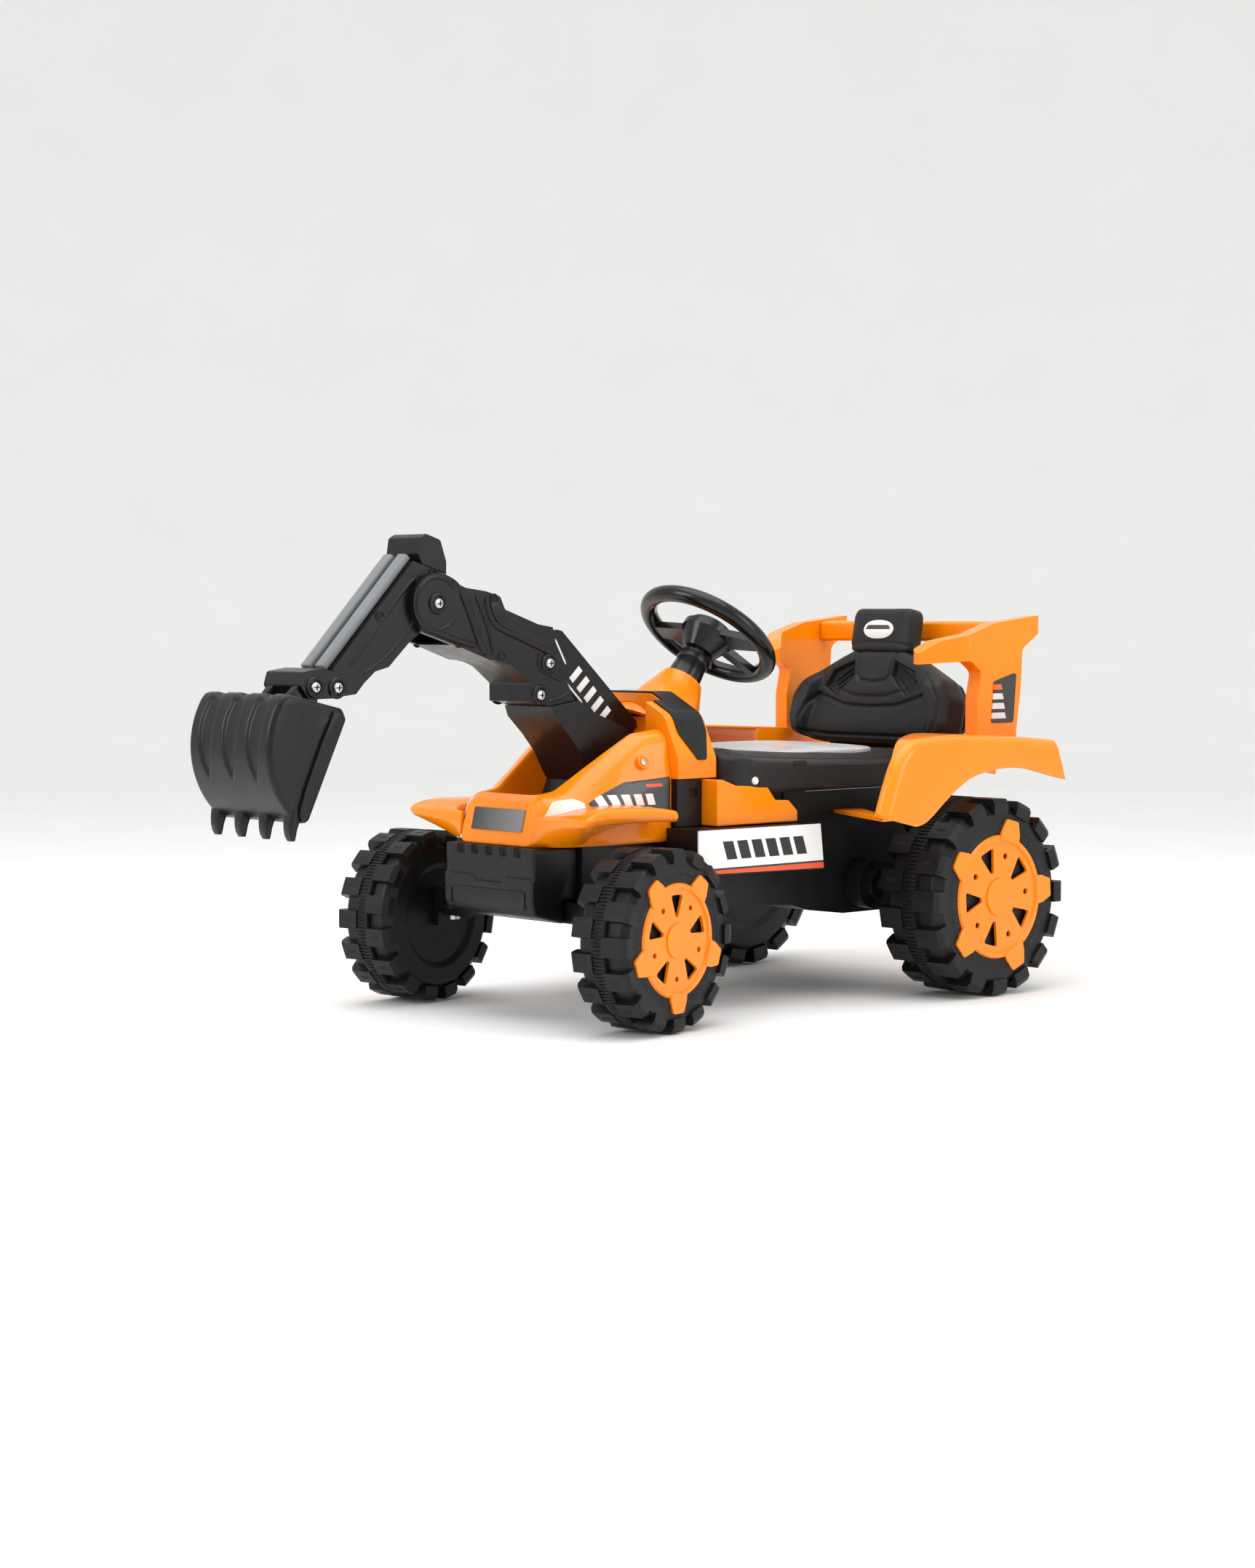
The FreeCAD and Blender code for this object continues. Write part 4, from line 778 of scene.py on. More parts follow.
# ------------------------------------------------------------------ front bumper
def bumper_block():
    """Hollow-fronted block swept along x. The face stands 3 mm further forward below a ledge that
    dips 7 mm in the middle, and five notches 12 mm wide cut 4 mm into its top edge."""
    x = np.concatenate([[-85, -84.6, -83.2], np.linspace(-81, 81, 163), [83.2, 84.6, 85]])
    pinch = np.interp(np.abs(x), [81, 83.2, 84.6, 85], [0, 0.5, 1.8, 2.6])
    face_z = np.concatenate([np.linspace(213.4, 202, 7), np.linspace(200, 184, 5), np.linspace(181, 164, 18),
                             np.linspace(160, 148, 4)])
    face_y = np.full(len(face_z), -66.6)
    section = np.vstack([np.stack([face_y, face_z], 1),
                         [(-66.4, 144), (-65, 135), (-62.5, 131.5), (-40, 125.5), (-20, 120.2), (-18.4, 121),
                          (-18.4, 146),
                          (-16, 147.6), (3, 147.6), (4, 149), (4, 212), (3, 213.6), (-62, 214),
                          (-65.4, 213.9)]])
    y = np.repeat(section[None, :, 0], len(x), 0)
    z = np.repeat(section[None, :, 1], len(x), 0)
    front_face = y < -60
    ledge = 178 - 7 * smooth_step((34 - np.abs(x)) / 9)
    y = y - 3.0 * front_face * smooth_step((ledge[:, None] - z) / 2.0) * smooth_step((z - 133) / 6)
    for k in range(5):
        near = smooth_step((7.2 - np.abs(x - (k - 2) * 27.0)) / 1.6)[:, None]
        y = y + 4.2 * front_face * near * smooth_step((z - 202.5) / 2.2)
    y = y + pinch[:, None] * np.sign(-32 - y)
    z = z + pinch[:, None] * np.sign(168 - z)
    return shell(np.stack([np.repeat(x[:, None], len(section), 1), y, z], -1), wrap_columns=True, caps=True)


make("front_bumper_moulded", [bumper_block()], black_pp, "chassis", stands_for=["front_bumper"], sharp=45)
rails = []
for points in ([(-70, -70.2, 136), (-70, -70.6, 160)], [(70, -70.2, 136), (70, -70.6, 160)],
               [(-70, -70.6, 160), (70, -70.6, 160)]):
    rails.append(bead(points, (0, -1, 0), 3.0, 1.0, sides=8))
make("front_bumper_ribs", rails, black_pp, "chassis")


# ------------------------------------------------------------------ rear mudguards
rear_axle_y = 568.0
guard_outer = 285.5
guard_round = 15.0
flat_edge = guard_outer - guard_round


def rear_guard():
    """Arched panel over the rear wheel, lofted from the front edge to the tail: from its inner edge
    flat across the top, over a 15 mm round corner, down the cambered outer face to the arch line.
    The inner edge starts at the outer face and runs diagonally inwards; the tail leans outwards."""
    top = smooth_path([(0, -229, 243), (0, -213, 284), (0, -196, 317), (0, -172, 336), (0, -135, 341.5),
                       (0, -73, 343), (0, 58, 337), (0, 151, 332)], 5.0)[:, 1:]
    low = smooth_path([(0, -167, 229), (0, -150, 233), (0, -132, 244), (0, -110, 260), (0, -80, 279),
                       (0, -41, 293), (0, 32, 298), (0, 131, 279)], 5.0)[:, 1:]
    share = np.linspace(0, 1, 64)
    top = np.stack([np.interp(share, np.linspace(0, 1, len(top)), top[:, k]) for k in (0, 1)], -1)
    low = np.stack([np.interp(share, np.linspace(0, 1, len(low)), low[:, k]) for k in (0, 1)], -1)
    length = np.linalg.norm(low - top, axis=1)
    down = (low - top) / length[:, None]
    inner = np.interp(top[:, 0], [-196, -11], [268, 161])
    turn = np.radians(np.linspace(0, 90, 9))
    level = 0 * inner
    x = [inner + (flat_edge - inner) * t for t in (0, 0.2, 0.4, 0.6, 0.8)]
    x += [flat_edge + guard_round * math.sin(t) + level for t in turn]
    fall = [level] * 5 + [guard_round * (1 - math.cos(t)) + level for t in turn]
    for t in (0.12, 0.3, 0.5, 0.7, 0.88, 0.97, 1.0):
        x.append(guard_outer - 2.5 * (t - 0.25) ** 2 * (t > 0.25) + level)
        fall.append(guard_round + (length - guard_round) * t)
    x.append(283.0 + level)
    fall.append(length + 1.2)
    x, fall = np.stack(x, 1), np.stack(fall, 1)
    y = top[:, 0:1] + down[:, 0:1] * fall
    z = top[:, 1:2] + down[:, 1:2] * fall
    tail = np.minimum(97 + (360 - z) * 0.391 + (guard_outer - x) * 0.4615, 151)
    y = np.where(y > 50, 50 + (y - 50) * (tail - 50) / (np.maximum(top[-1, 0] + down[-1, 0] * fall, 60) - 50),
                 y)
    return shell(np.stack([x, y + rear_axle_y, z], -1))


guards = make("rear_mudguard_panels", pair(rear_guard()), orange_abs, "chassis",
              stands_for=["mudguards_rear"],
              sharp=55, facing=(0, 620, 200))
thickened(guards, 3.5, -1.0)
inner_wall = [(-9, 294), (-9, 340), (58, 335), (148, 330.5), (133, 300), (129, 280), (32, 297)]
inner_wall = [(y + rear_axle_y, z) for y, z in inner_wall]
lip = [(281, -226), (281, -206), (120, -99), (120, -146)]
lip = [(x, y + rear_axle_y) for x, y in lip]
make("rear_mudguard_webs", pair(slab(inner_wall, 160.5, 163.5, edge=0.8)) + pair(slab(lip, 238, 243, axis="z",
                                                                                      edge=1.2)),
     orange_abs, "chassis")


# ------------------------------------------------------------------ wheels
def wheel_points(joint, side, local):
    """Wheel coordinates to the frame, in metres: local x runs outwards along the axle, local z is up
    and local y runs along the wheel's own fore-and-aft line."""
    centre = np.array(joints[joint]["pos_m"])
    axis = np.array(joints[joint]["axis"], float)
    axis = axis / np.linalg.norm(axis)
    out = axis * side
    up = np.array([0.0, 0.0, 1.0])
    fore = np.cross(up, axis)
    local = np.asarray(local, float) * 0.001
    return centre + local[..., 0:1] * out + local[..., 1:2] * fore + local[..., 2:3] * up


def round_ring(x, radius, angle):
    """Points (x, radius cos, radius sin) about the axle."""
    return np.stack([x, radius * np.cos(angle), radius * np.sin(angle)], -1)


def tread_band(radius, width):
    """Serrated centre band: radius = crown + 3.3 mm on nine rounded ribs for each lug, on a closed
    loop of columns that dips under the tread at both edges."""
    angle = np.linspace(0, 2 * math.pi, lugs * 9 * 6, endpoint=False)
    across = np.array([-0.135, -0.125, -0.07, 0.0, 0.07, 0.125, 0.135, 0.0]) * width
    base = radius + np.array([-8.0, -4.6, -3.6, -3.4, -3.6, -4.6, -8.0, -9.0])
    rib = np.array([0, 2.4, 3.2, 3.3, 3.2, 2.4, 0, 0])
    wave = smooth_step(0.5 + 1.2 * np.sin(angle * lugs * 9))
    r = base[None, :] + rib[None, :] * wave[:, None]
    x = np.repeat(across[None, :], len(angle), 0)
    return round_ring(x, r, np.repeat(angle[:, None], len(across), 1))


def sidewall_ticks(radius, width):
    """Ring of fine radial ribs on the sidewall: x = wall + 0.9 mm * rib(angle), 96 ribs round."""
    angle = np.linspace(0, 2 * math.pi, 96 * 4, endpoint=False)
    half = width / 2
    spans = np.array([0.645, 0.66, 0.73, 0.75, 0.70]) * radius
    base = half + np.array([-5.0, -3.9, -3.9, -5.0, -6.0])
    rib = np.array([0, 1, 1, 0, 0])
    wave = smooth_step(0.5 + 1.6 * np.sin(angle * 96))
    x = base[None, :] + rib[None, :] * wave[:, None] * 1.1
    return round_ring(x, np.repeat(spans[None, :], len(angle), 0), np.repeat(angle[:, None], 5, 1))


def lug_slots(radius, width):
    """Small slot on the crown of each lug, a flat lozenge 13 mm by 3.4 mm, dark with painted shade."""
    shapes = []
    for side, phase in ((1, 0.0), (-1, 0.5)):
        for k in range(lugs):
            turn = (k + phase) * 2 * math.pi / lugs
            x = np.array([0.19, 0.21, 0.33, 0.35, 0.33, 0.21]) * width * side
            y = np.array([0, 1.7, 1.7, 0, -1.7, -1.7])
            rows = []
            for height, grow in ((radius - 1.5, 1.0), (radius + 0.25, 1.0), (radius + 0.26, 0.6)):
                flat = np.stack([x.mean() + (x - x.mean()) * grow, y * grow, np.full(6, height)], -1)
                c, s = math.cos(turn), math.sin(turn)
                rows.append(np.stack([flat[:, 0], flat[:, 1] * c - flat[:, 2] * s,
                                      flat[:, 1] * s + flat[:, 2] * c], -1))
            shapes.append(shell(np.array(rows), wrap_columns=True, caps=True))
    return shapes


for wheel, side, size in (("front_left", 1, front_tyre), ("front_right", -1, front_tyre),
                          ("rear_left", 1, rear_tyre), ("rear_right", -1, rear_tyre)):
    joint = wheel + "_spin"
    body = wheel + "_wheel"
    band = shell(wheel_points(joint, side, tread_band(**size)), wrap_rows=True, wrap_columns=True)
    make("tread_band_" + wheel, [band], tyre_pe, body, metres=True, sharp=60)
    ticks = shell(wheel_points(joint, side, sidewall_ticks(**size)), wrap_rows=True, wrap_columns=True)
    make("sidewall_ribs_" + wheel, [ticks], tyre_pe, body, metres=True, sharp=60)
    slots = [(wheel_points(joint, side, points), faces) for points, faces in lug_slots(**size)]
    make("lug_slots_" + wheel, slots, well_shade_black, body, metres=True)


# ------------------------------------------------------------------ bucket
def bucket_rows():
    """Back edge and mouth edge of the bucket in (Y, Z), row for row: over the top panel, down the
    105 mm arc from 148 to 227 degrees, and along the plain lower band to the cutting edge."""
    arc = np.radians(np.linspace(148, 227, 46))
    curve = np.stack([-348 + 105 * np.cos(arc), 345 + 105 * np.sin(arc)], -1)
    top = np.array([[-352, 391.0], [-372, 396.0], [-398, 402.5], [-425, 408.5], [-432, 406.5]])
    low = np.array([[-416.5, 265.2], [-413, 262.0]])
    back_line = np.vstack([top, curve, low])
    step = np.concatenate([[0], np.cumsum(np.linalg.norm(np.diff(back_line, axis=0), axis=1))])
    share = step / step[-1]
    mouth = np.array([-347.5, 383.0]) + share[:, None] * np.array([-55.5, -121.0])
    return back_line, mouth, share


def bucket_skin():
    """Each row goes from the mouth along one side plate, round a 7 mm corner, across the back and
    along the other plate. Three leaf grooves 3.4 mm deep sink the back where |x - centre| is less
    than 15 mm * sin(pi t)^0.7, and a band 13 mm wide stands 1.6 mm proud beside the mouth."""
    back_line, mouth, share = bucket_rows()
    inward = mouth - back_line
    length = np.linalg.norm(inward, axis=1)
    inward = inward / length[:, None]
    corner_r = np.minimum(7.0, 0.45 * length)
    plate = np.linspace(1, 0, 16) ** 0.9
    turn = np.radians(np.linspace(0, 90, 7))
    flat = np.linspace(-1, 1, 81)[1:-1]
    rows = []
    for k in range(len(share)):
        r = corner_r[k]
        q = np.concatenate([r + (length[k] - r) * plate[:-1], r - r * np.sin(turn),
                            np.zeros(len(flat)), r - r * np.sin(turn[::-1]),
                            r + (length[k] - r) * plate[::-1][1:]])
        x = np.concatenate([np.full(15, -bucket_half), -bucket_half + r - r * np.cos(turn),
                            flat * (bucket_half - r), bucket_half - r + r * np.cos(turn[::-1]),
                            np.full(15, bucket_half)])
        t = np.clip((share[k] - 0.20) / 0.56, 0, 1)
        leaf = 15.0 * math.sin(math.pi * t) ** 0.7
        for centre in (-47.0, 0.0, 47.0):
            q = q + 3.4 * smooth_step((leaf - np.abs(x - centre)) / 5.0) * (q < 0.5)
        edge = smooth_step((13.0 - (length[k] - q)) / 3.0) * (length[k] > 22)
        x = x + np.sign(x) * 1.6 * edge * (np.abs(x) > bucket_half - 1)
        point = back_line[k][None, :] + inward[k][None, :] * q[:, None]
        rows.append(np.stack([x, point[:, 0], point[:, 1]], -1))
    return shell(np.array(rows))


def tooth(x):
    """Rounded bucket tooth: six sections from root to tip, each a rounded rectangle."""
    centre = np.array([[-413, 278], [-415, 270], [-417, 262], [-418.5, 254], [-418.5, 247], [-417.5, 241.5]])
    half_x = np.array([9.0, 9.0, 8.5, 7.8, 7.0, 5.0])
    half_y = np.array([8.0, 8.0, 7.0, 5.5, 4.2, 2.6])
    angle = np.linspace(0, 2 * math.pi, 20, endpoint=False)
    sx = np.sign(np.cos(angle)) * np.abs(np.cos(angle)) ** 0.45
    sy = np.sign(np.sin(angle)) * np.abs(np.sin(angle)) ** 0.45
    rows = np.stack([x + half_x[:, None] * sx[None, :], centre[:, 0:1] + half_y[:, None] * sy[None, :],
                     np.repeat(centre[:, 1:2], 20, 1)], -1)
    return shell(rows, wrap_columns=True, caps=True)


mouth_band = [(-347, 381), (-363, 389), (-383, 350), (-405, 300), (-414, 272), (-411, 263), (-403, 262)]
make("bucket_side_bands", pair(slab(mouth_band, 79.0, 84.3, edge=1.4, round_corners=3.0)), arm_pp, "bucket")
skin = make("bucket_shell", [bucket_skin()], arm_pp, "bucket", stands_for=["bucket"], facing=(0, -384, 330),
            sharp=60)
thickened(skin, 4.0, offset=-1.0)
ear = [(-390, 399), (-384, 408), (-370, 422), (-362, 424.5), (-352, 424.5), (-346, 418), (-345, 408),
       (-350, 392)]
make("bucket_fittings", [tooth(x) for x in (-72, -24, 24, 72)] + pair(slab(ear, 18, 30.5, edge=1.5)),
     arm_pp, "bucket")


# ------------------------------------------------------------------ digger arm details
def on_side(points, x):
    """(Y, Z) pairs on the plane at x."""
    return [(x, p[0], p[1]) for p in points]


def both(points, x, wide, high):
    """The same rib on the left and the right cheek."""
    return pair(bead(on_side(points, x), (1, 0, 0), wide, high))


boom_ribs = []
boom_ribs += both([(-104, 519), (-98, 499), (-87, 484), (-53, 470.5), (-18, 457.5), (1, 450)], boom_half, 8,
                  3.4)
boom_ribs += both([(-141, 527), (-128, 500), (-114, 466), (-103, 449)], boom_half, 9, 3.8)
boom_ribs += both([(-120, 521), (-108, 498), (-98, 474), (-92, 449)], boom_half, 5, 2.4)
boom_ribs += both([(-176, 546), (-150, 534), (-136, 512), (-115, 465)], boom_half, 7, 3.4)
boom_ribs += both([(-199, 482), (-170, 473), (-146, 466), (-118, 460)], boom_half, 8, 3.4)
boom_ribs += both([(-18, 452), (-20, 434), (-4, 424), (18, 416)], boom_half, 4, 2.0)
boom_ribs += both([(-4, 391), (22, 397), (30, 404)], boom_half, 4, 1.6)
ring_angle = np.radians(np.linspace(35, 335, 40))
boss_ring = [(-180 + 31 * math.cos(a), 511 + 31 * math.sin(a)) for a in ring_angle]
boom_ribs += both(boss_ring, boom_half + 2, 5, 2.2)
boom_panel = [(-98, 512), (-93, 497), (-84, 486), (-52, 473), (-17, 460.5), (0, 452), (3, 467), (0, 480),
              (-20, 482.5),
              (-73, 500.5), (-82, 515)]
boom_ribs += pair(slab(boom_panel, boom_half - 0.5, boom_half + 1.6, edge=0.8, round_corners=2.0))
make("boom_ribs", boom_ribs, arm_pp, "digger_base")

# round bolt heads: a domed head with a cross recess, standing in a shallow black boss
head_profile = [(-1.0, 6.6), (1.6, 6.4), (3.2, 5.4), (4.0, 3.2), (4.2, 0.2)]
boss_profile = [(-1.0, 13.4), (1.0, 13.0), (2.2, 11.8), (2.4, 9.6), (1.4, 8.6), (0.4, 8.2), (0.4, 0.2)]


def cross_bolts(places):
    """Domed bolt heads, their bosses and their cross recesses on both cheeks, from (x, y, z)."""
    heads, bosses, slots = [], [], []
    for x, y, z in places:
        heads += pair(lathe(head_profile, (x + 0.6, y, z), (1, 0, 0), (0, 0, 1), 28))
        bosses += pair(lathe(boss_profile, (x, y, z), (1, 0, 0), (0, 0, 1), 32))
        for dy, dz in ((3.4, 0.8), (0.8, 3.4)):
            arm = [(y - dy, z - dz), (y + dy, z - dz), (y + dy, z + dz), (y - dy, z + dz)]
            slots += pair(slab(arm, x + 4.0, x + 5.1, edge=0.2))
    return heads, bosses, slots


for name, node, body, places in (
        ("boom", "boom_bolts", "digger_base", [(42.5, -180, 511), (40, -3, 438), (40, -18, 399)]),
        ("bracket", "bracket_bolts", "bracket", [(36.5, -325, 413), (36.5, -357, 414)])):
    heads, bosses, slots = cross_bolts(places)
    make(name + "_bolt_heads", heads, steel, body, stands_for=[node])
    make(name + "_bolt_bosses", bosses, arm_pp, body)
    # The cross recesses are flat dark crosses standing on the domes, in painted shade.
    make(name + "_bolt_recesses", slots, well_shade_black, body)

well_profile = [(-0.5, 6.6), (1.0, 6.4), (1.4, 5.6), (1.2, 4.8), (-0.4, 4.5)]
hole_profile = [(-1.0, 4.6), (0.3, 4.6), (0.35, 0.3)]


def screw_wells(places, x):
    """Raised ring round each screw well, and the dark bottom of the well in painted shade, on both cheeks."""
    rings = []
    holes = []
    for y, z in places:
        rings += pair(lathe(well_profile, (x, y, z), (1, 0, 0), (0, 0, 1), 20))
        holes += pair(lathe(hole_profile, (x, y, z), (1, 0, 0), (0, 0, 1), 20))
    return rings, holes


for name, places, x, body in (("boom", [(-146, 464), (-78, 447), (-91, 517)], boom_half, "digger_base"),
                              ("dipper", [(-258, 496), (-178, 548)], dipper_half, "dipper")):
    rings, holes = screw_wells(places, x)
    make(name + "_screw_rings", rings, arm_pp, body)
    make(name + "_screw_wells", holes, well_shade_black, body)

dipper_ribs = []
dipper_ribs += both([(-301, 438), (-262, 483), (-222, 526), (-204, 542)], dipper_half, 5, 2.0)
dipper_ribs += both([(-204, 542), (-196, 520), (-206, 492), (-232, 462), (-262, 440), (-284, 428)],
                    dipper_half, 4, 1.8)
make("dipper_ribs", dipper_ribs, arm_pp, "dipper")


def dipper_bars():
    """Two grey bars on the dipper's top: a rounded rectangle 18 mm by 9 mm carried along its slope."""
    line = np.array([0.0, 117.0, 124.0])
    line /= np.linalg.norm(line)
    rise = np.array([0.0, -line[2], line[1]])
    start = np.array([0.0, -322.0, 440.0])
    section = np.array([(4.5, -1.0), (23, -1.0), (23, 9), (4.5, 9)], float)
    section = corners_cut(corners_cut(section, 2.5), 1.0)
    middle = section.mean(0)
    shapes = []
    for side in (1, -1):
        rows = []
        for distance, grow in ((-10, 0.86), (-9.4, 0.97), (-8.5, 1.0), (170, 1.0)):
            flat = middle + (section - middle) * grow
            rows.append(start + line * distance + flat[:, 0:1] * np.array([side, 0, 0]) + flat[:, 1:2] * rise)
        shapes.append(shell(np.array(rows), wrap_columns=True, caps=True))
    return shapes


make("dipper_bars", dipper_bars(), grey_abs, "dipper", stands_for=["dipper_rods"])

cover_lines = []
for points in ([(13, 468), (31, 436)], [(24, 420), (58, 388)]):
    cover_lines += pair(bead(on_side(points, 33), (1, 0, 0), 2.6, 0.5, sides=8, sink=0.0))
make("cover_lines", cover_lines, white_line, "digger_base")
cover_bars = []
for k in range(5):
    y, z = 52 + k * 12.0, 434 - k * 12.6
    bar = [(y, z), (y + 6, z - 6.2), (y - 10, z - 21), (y - 16, z - 14.8)]
    cover_bars += pair(slab(bar, 32.8, 33.5, edge=0.2))
make("cover_bars", cover_bars, white_line, "digger_base")


# ------------------------------------------------------------------ seat
def outline_radius(points, centre, angles, smoothing=3):
    """Distance from the centre to a closed outline in each direction, then a running mean so that
    its corners read as sewn curves."""
    p = np.asarray(points, float) - np.asarray(centre, float)
    q = np.roll(p, -1, axis=0)
    ray = np.stack([np.cos(angles), np.sin(angles)], -1)
    edge = q - p
    cross = ray[:, None, 0] * edge[None, :, 1] - ray[:, None, 1] * edge[None, :, 0]
    cross = np.where(np.abs(cross) < 1e-9, 1e-9, cross)
    t = (p[None, :, 0] * edge[None, :, 1] - p[None, :, 1] * edge[None, :, 0]) / cross
    s = (p[None, :, 0] * ray[:, None, 1] - p[None, :, 1] * ray[:, None, 0]) / cross
    reach = np.where((t > 0) & (s >= -1e-6) & (s <= 1 + 1e-6), t, np.inf).min(1)
    for _ in range(smoothing):
        reach = (np.roll(reach, 1) + 2 * reach + np.roll(reach, -1)) / 4
    return reach


def both_ways(points):
    return list(points) + [(-p[0],) + tuple(p[1:]) for p in reversed(points)]


def pillow(points, centre, low, high, power=5.0, rings=40, around=200, smoothing=3):
    """Closed pad over an outline: out from the centre of the front, round the rim and back to the
    centre of the rear. At share r of the way out its half thickness is h (1 - r^power)^(1/power)."""
    angles = np.linspace(0, 2 * math.pi, around, endpoint=False)
    reach = outline_radius(points, centre, angles, smoothing)
    share = np.sin(np.linspace(0, math.pi / 2, rings))
    half = (high - low) / 2
    lift = np.clip(1 - share ** power, 0, 1) ** (1 / power)
    out = np.concatenate([share, share[::-1][1:]])
    level = np.concatenate([(low + high) / 2 - half * lift, ((low + high) / 2 + half * lift)[::-1][1:]])
    u = centre[0] + out[:, None] * reach[None, :] * np.cos(angles)[None, :]
    v = centre[1] + out[:, None] * reach[None, :] * np.sin(angles)[None, :]
    return u, v, np.repeat(level[:, None], around, 1)


def near_line(u, v, points):
    """Distance of every grid point from a polyline."""
    best = np.full(u.shape, 1e9)
    for (ax, ay), (bx, by) in zip(points[:-1], points[1:]):
        dx, dy = bx - ax, by - ay
        t = np.clip(((u - ax) * dx + (v - ay) * dy) / (dx * dx + dy * dy), 0, 1)
        best = np.minimum(best, np.hypot(u - ax - t * dx, v - ay - t * dy))
    return best


def inside_depth(u, v, points):
    """Distance inside a convex outline, negative outside."""
    p = np.asarray(points, float)
    q = np.roll(p, -1, axis=0)
    area = (p[:, 0] * q[:, 1] - q[:, 0] * p[:, 1]).sum()
    depth = np.full(u.shape, 1e9)
    for a, b in zip(p, q):
        edge = (b - a) / np.linalg.norm(b - a)
        depth = np.minimum(depth, ((u - a[0]) * -edge[1] + (v - a[1]) * edge[0]) * math.copysign(1, area))
    return depth


def seam(distance, depth, width):
    """Sewn groove: depth * exp(-(distance / width)^2)."""
    return depth * np.exp(-(distance / width) ** 2)


def leaned(x, y, z):
    """Turns the upright drawing of the backrest back about the seat hinge."""
    dy, dz = y - seat_hinge[0], z - seat_hinge[1]
    return np.stack([x, seat_hinge[0] + dy * math.cos(recline) + dz * math.sin(recline),
                     seat_hinge[1] + dz * math.cos(recline) - dy * math.sin(recline)], -1)


def closed_pad(grid):
    """Pad from its grid of points, with the first and the last row drawn together to one point."""
    grid = grid.copy()
    grid[0] = grid[0].mean(0)
    grid[-1] = grid[-1].mean(0)
    return shell(grid, wrap_columns=True)


back_outline = both_ways([(106, 323), (140, 333), (147, 350), (147, 384), (128, 412), (70, 441), (48, 451)])
x, z, y = pillow(back_outline, (0, 378), 610.0, 652.0, power=6.0, rings=110, around=420, smoothing=6)
front_side = y < 631
bolster = smooth_step((np.abs(x) - 106 + 0.25 * (z - 352)) / 13) * smooth_step((424 - z) / 26)
y = y - np.where(front_side, 1, 0) * bolster * 13.5 * smooth_step((626 - y) / 14)
mirror_x = np.abs(x)
vent = [(37, 438), (76, 423), (90, 398), (66, 385), (34, 414)]
vent_depth = inside_depth(mirror_x, z, vent)
lines = near_line(mirror_x, z, [(117, 318), (120, 352), (110, 374), (97, 388)])
across_high = near_line(mirror_x, z, [(0, 371), (50, 374), (97, 388)])
across_low = near_line(mirror_x, z, [(0, 331), (70, 331), (117, 334)])
channel = near_line(mirror_x, z, [(0, 385), (30, 386), (58, 394)])
neck = near_line(mirror_x, z, [(34, 450), (30, 416), (24, 409), (0, 406)])
rim_seam = near_line(mirror_x, z, [(95, 324), (128, 336), (134, 352), (134, 382), (117, 404), (96, 418)])
sink = (seam(lines, 4.0, 2.6) + seam(across_high, 3.2, 2.4) + seam(across_low, 3.0, 2.4) + seam(channel, 2.0,
                                                                                                3.0)
        + seam(neck, 3.0, 2.6) + seam(rim_seam, 2.2, 2.2) + 9.0 * smooth_step(vent_depth / 3.5))
puff = 3.0 * np.exp(-((z - 351) / 22) ** 2) + 3.0 * np.exp(-((z - 396) / 14) ** 2 - (x / 60) ** 2)
y = y + np.where(front_side, 1, 0) * (sink - puff) * smooth_step((630 - y) / 8)
backrest = make("backrest_pad", [closed_pad(leaned(x, y, z))], seat_black, "chassis", stands_for=["backrest"],
                sharp=75)

vent_shapes = []
for k in range(3):
    share = (k + 1) / 4
    a = np.array([37, 438]) * (1 - share) + np.array([34, 414]) * share
    b = np.array([84, 410]) * (1 - share) + np.array([68, 388]) * share
    line = [a + (b - a) * 0.12, a + (b - a) * 0.5, a + (b - a) * 0.9]
    points = leaned(np.array([p[0] for p in line]), np.full(3, 617.5), np.array([p[1] for p in line]))
    vent_shapes += pair(bead(points, (0, -math.cos(recline), math.sin(recline)), 2.4, 1.6, sides=8))
# The three strips across the vent are in the painted-shade black of the wells.
make("backrest_vent_slats", vent_shapes, well_shade_black, "chassis")

rest_outline = both_ways([(52, 449), (57, 455), (56, 503), (50, 511)])
x, z, y = pillow(rest_outline, (0, 478), 612.0, 646.0, power=4.5, rings=50, around=200, smoothing=6)
front_side = y < 629
ledge = near_line(np.abs(x), z, [(0, 462), (34, 461), (57, 457)])
y = y + np.where(front_side, 1, 0) * seam(ledge, 1.6, 2.6)
headrest = make("headrest_pad", [closed_pad(leaned(x, y, z))], seat_black, "chassis", stands_for=["headrest"],
                sharp=75)


def oval(half_x, half_z, y0, y1, edge):
    """Oval plate on the headrest."""
    angle = np.linspace(0, 2 * math.pi, 48, endpoint=False)
    flat = np.stack([half_x * np.sign(np.cos(angle)) * np.abs(np.cos(angle)) ** 0.8,
                     480 + half_z * np.sin(angle)], -1)
    points, faces = slab(flat, y1, y0, axis="y", edge=edge)
    return leaned(points[:, 0], points[:, 1], points[:, 2]), faces


make("headrest_badge_rim", [oval(27, 13.0, 612.6, 609.4, 0.8)], white_abs, "chassis",
     stands_for=["headrest_badge"])
make("headrest_badge_face", [oval(22.5, 9.5, 611.0, 608.9, 0.4)], badge_face, "chassis")

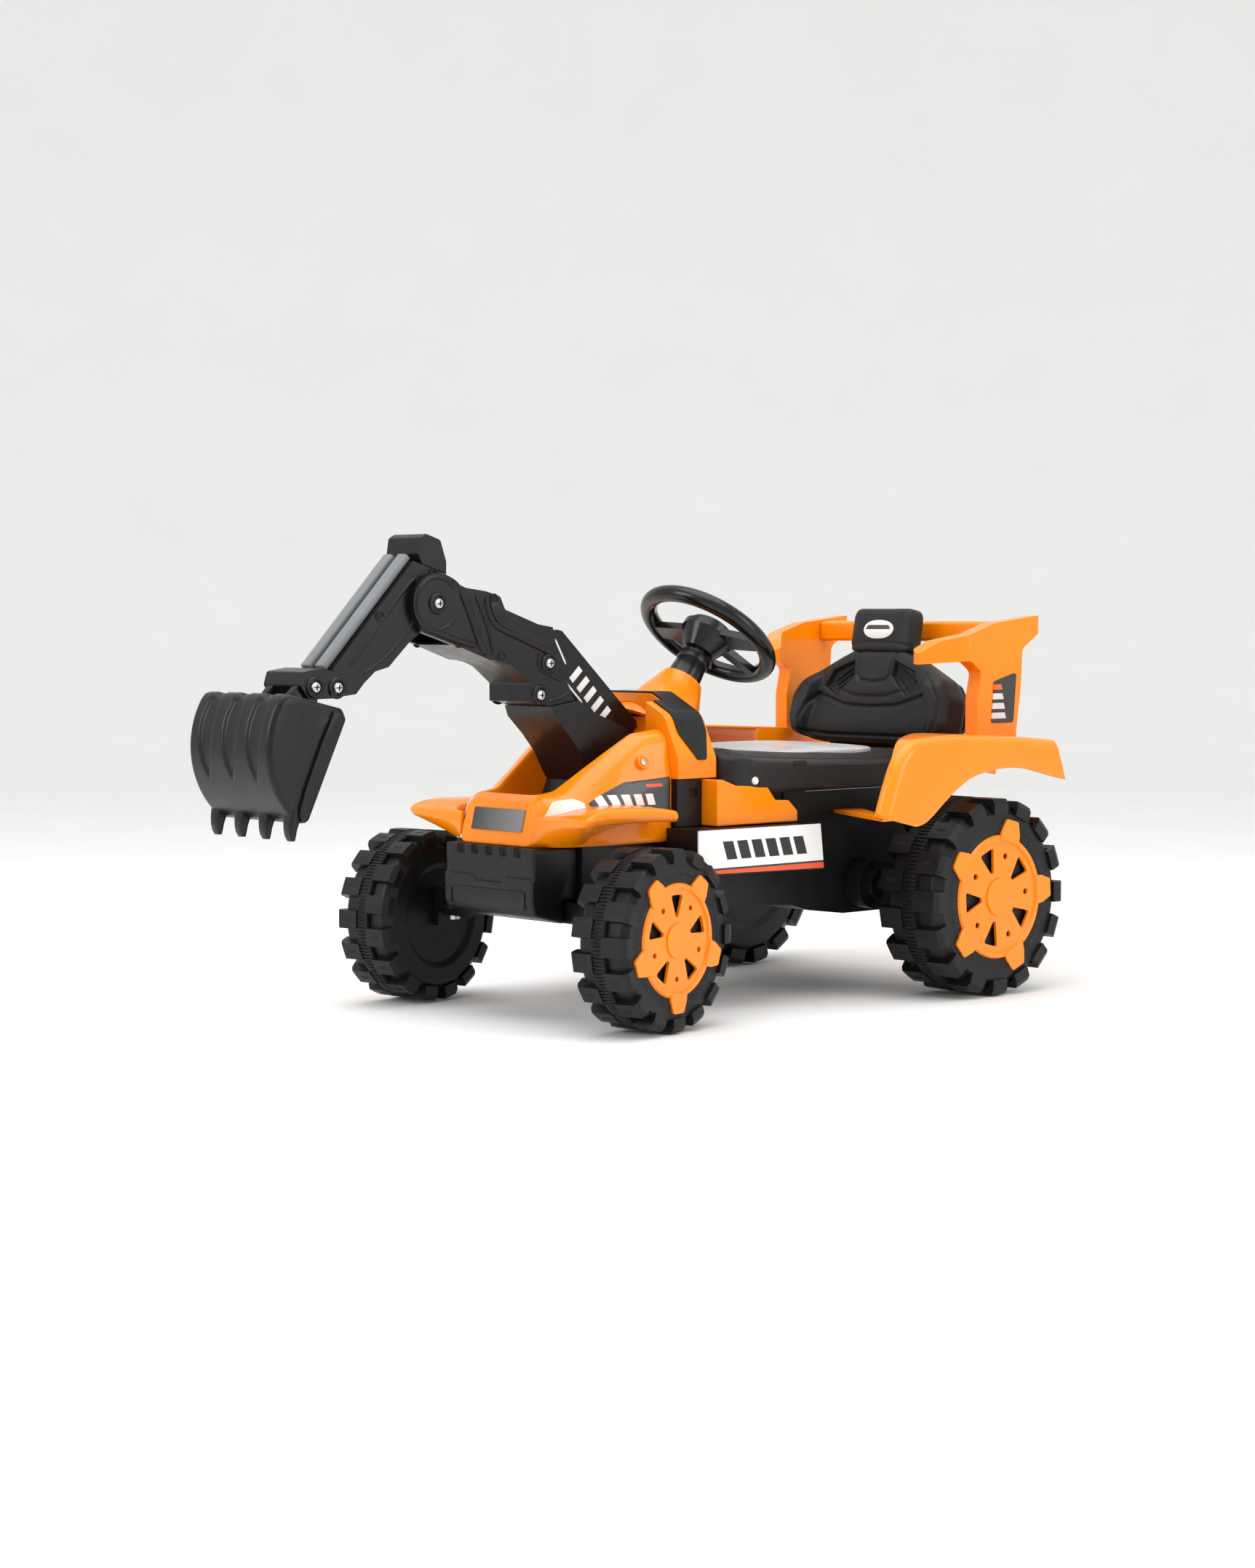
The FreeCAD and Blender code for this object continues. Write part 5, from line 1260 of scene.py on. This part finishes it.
cushion_outline = both_ways([(120, 205), (142, 214), (150, 240), (150, 560), (146, 598), (120, 602)])
x, y, z = pillow(cushion_outline, (0, 405), 268.0, 318.0, power=7.0, rings=90, around=360, smoothing=5)
top_side = z > 295
profile = np.interp(y, [203, 225, 255, 350, 466, 602], [12, 13, 7, 2, -2, 1])
bolt_line = near_line(np.abs(x), y, [(0, 290), (62, 296), (102, 318), (108, 400), (106, 502), (90, 540),
                                     (0, 545)])
side_line = near_line(np.abs(x), y, [(132, 230), (134, 400), (132, 585)])
dish = inside_depth(np.abs(x), y, [(-110, 290), (60, 292), (102, 316), (106, 502), (90, 540), (-110, 540)])
shoulder = 6.0 * smooth_step((np.abs(x) - 110) / 26)
z = z + np.where(top_side, 1, 0) * smooth_step((z - 300) / 12) * (
    profile - shoulder - seam(bolt_line, 3.0, 3.0) - seam(side_line, 2.6,
                                                          2.4) - 1.5 * smooth_step((dish - 1) / 5.0))
cushion = make("seat_cushion", [closed_pad(np.stack([x, y, z], -1))], seat_black, "chassis",
               stands_for=["seat_base"],
               sharp=75)

insert_outline = both_ways([(56, 297), (98, 318), (103, 360), (103.5, 495), (86, 535)])
x, y, z = pillow(insert_outline, (0, 415), 308.0, 322.5, power=6.0, rings=40, around=240, smoothing=8)
crown = 6.0 * (1 - (np.abs(x) / 104) ** 2) * (1 - (np.abs(y - 415) / 125) ** 2)
z = z + np.where(z > 315, 1, 0) * np.clip(crown, 0, 6)
insert = make("seat_insert_pad", [closed_pad(np.stack([x, y, z], -1))], seat_grey, "chassis",
              stands_for=["seat_insert"], sharp=75)

# small white cap, and the slot in the seat's flank as a dark patch of painted shade
flank_cap = [lathe([(-1, 5.0), (1.5, 5.0), (2.8, 4.0), (3.2, 0.3)], (149.5, 246, 288), (1, 0, 0), (0, 0, 1),
                   24)]
make("seat_flank_caps", flank_cap + [mirrored(flank_cap[0])], white_abs, "chassis")
slot_outline = [(318, 303), (338, 303), (341, 307), (338, 311), (318, 311), (315, 307)]
make("seat_flank_slots", pair(slab(slot_outline, 147, 150.6, edge=0.8)), well_shade_black, "chassis")
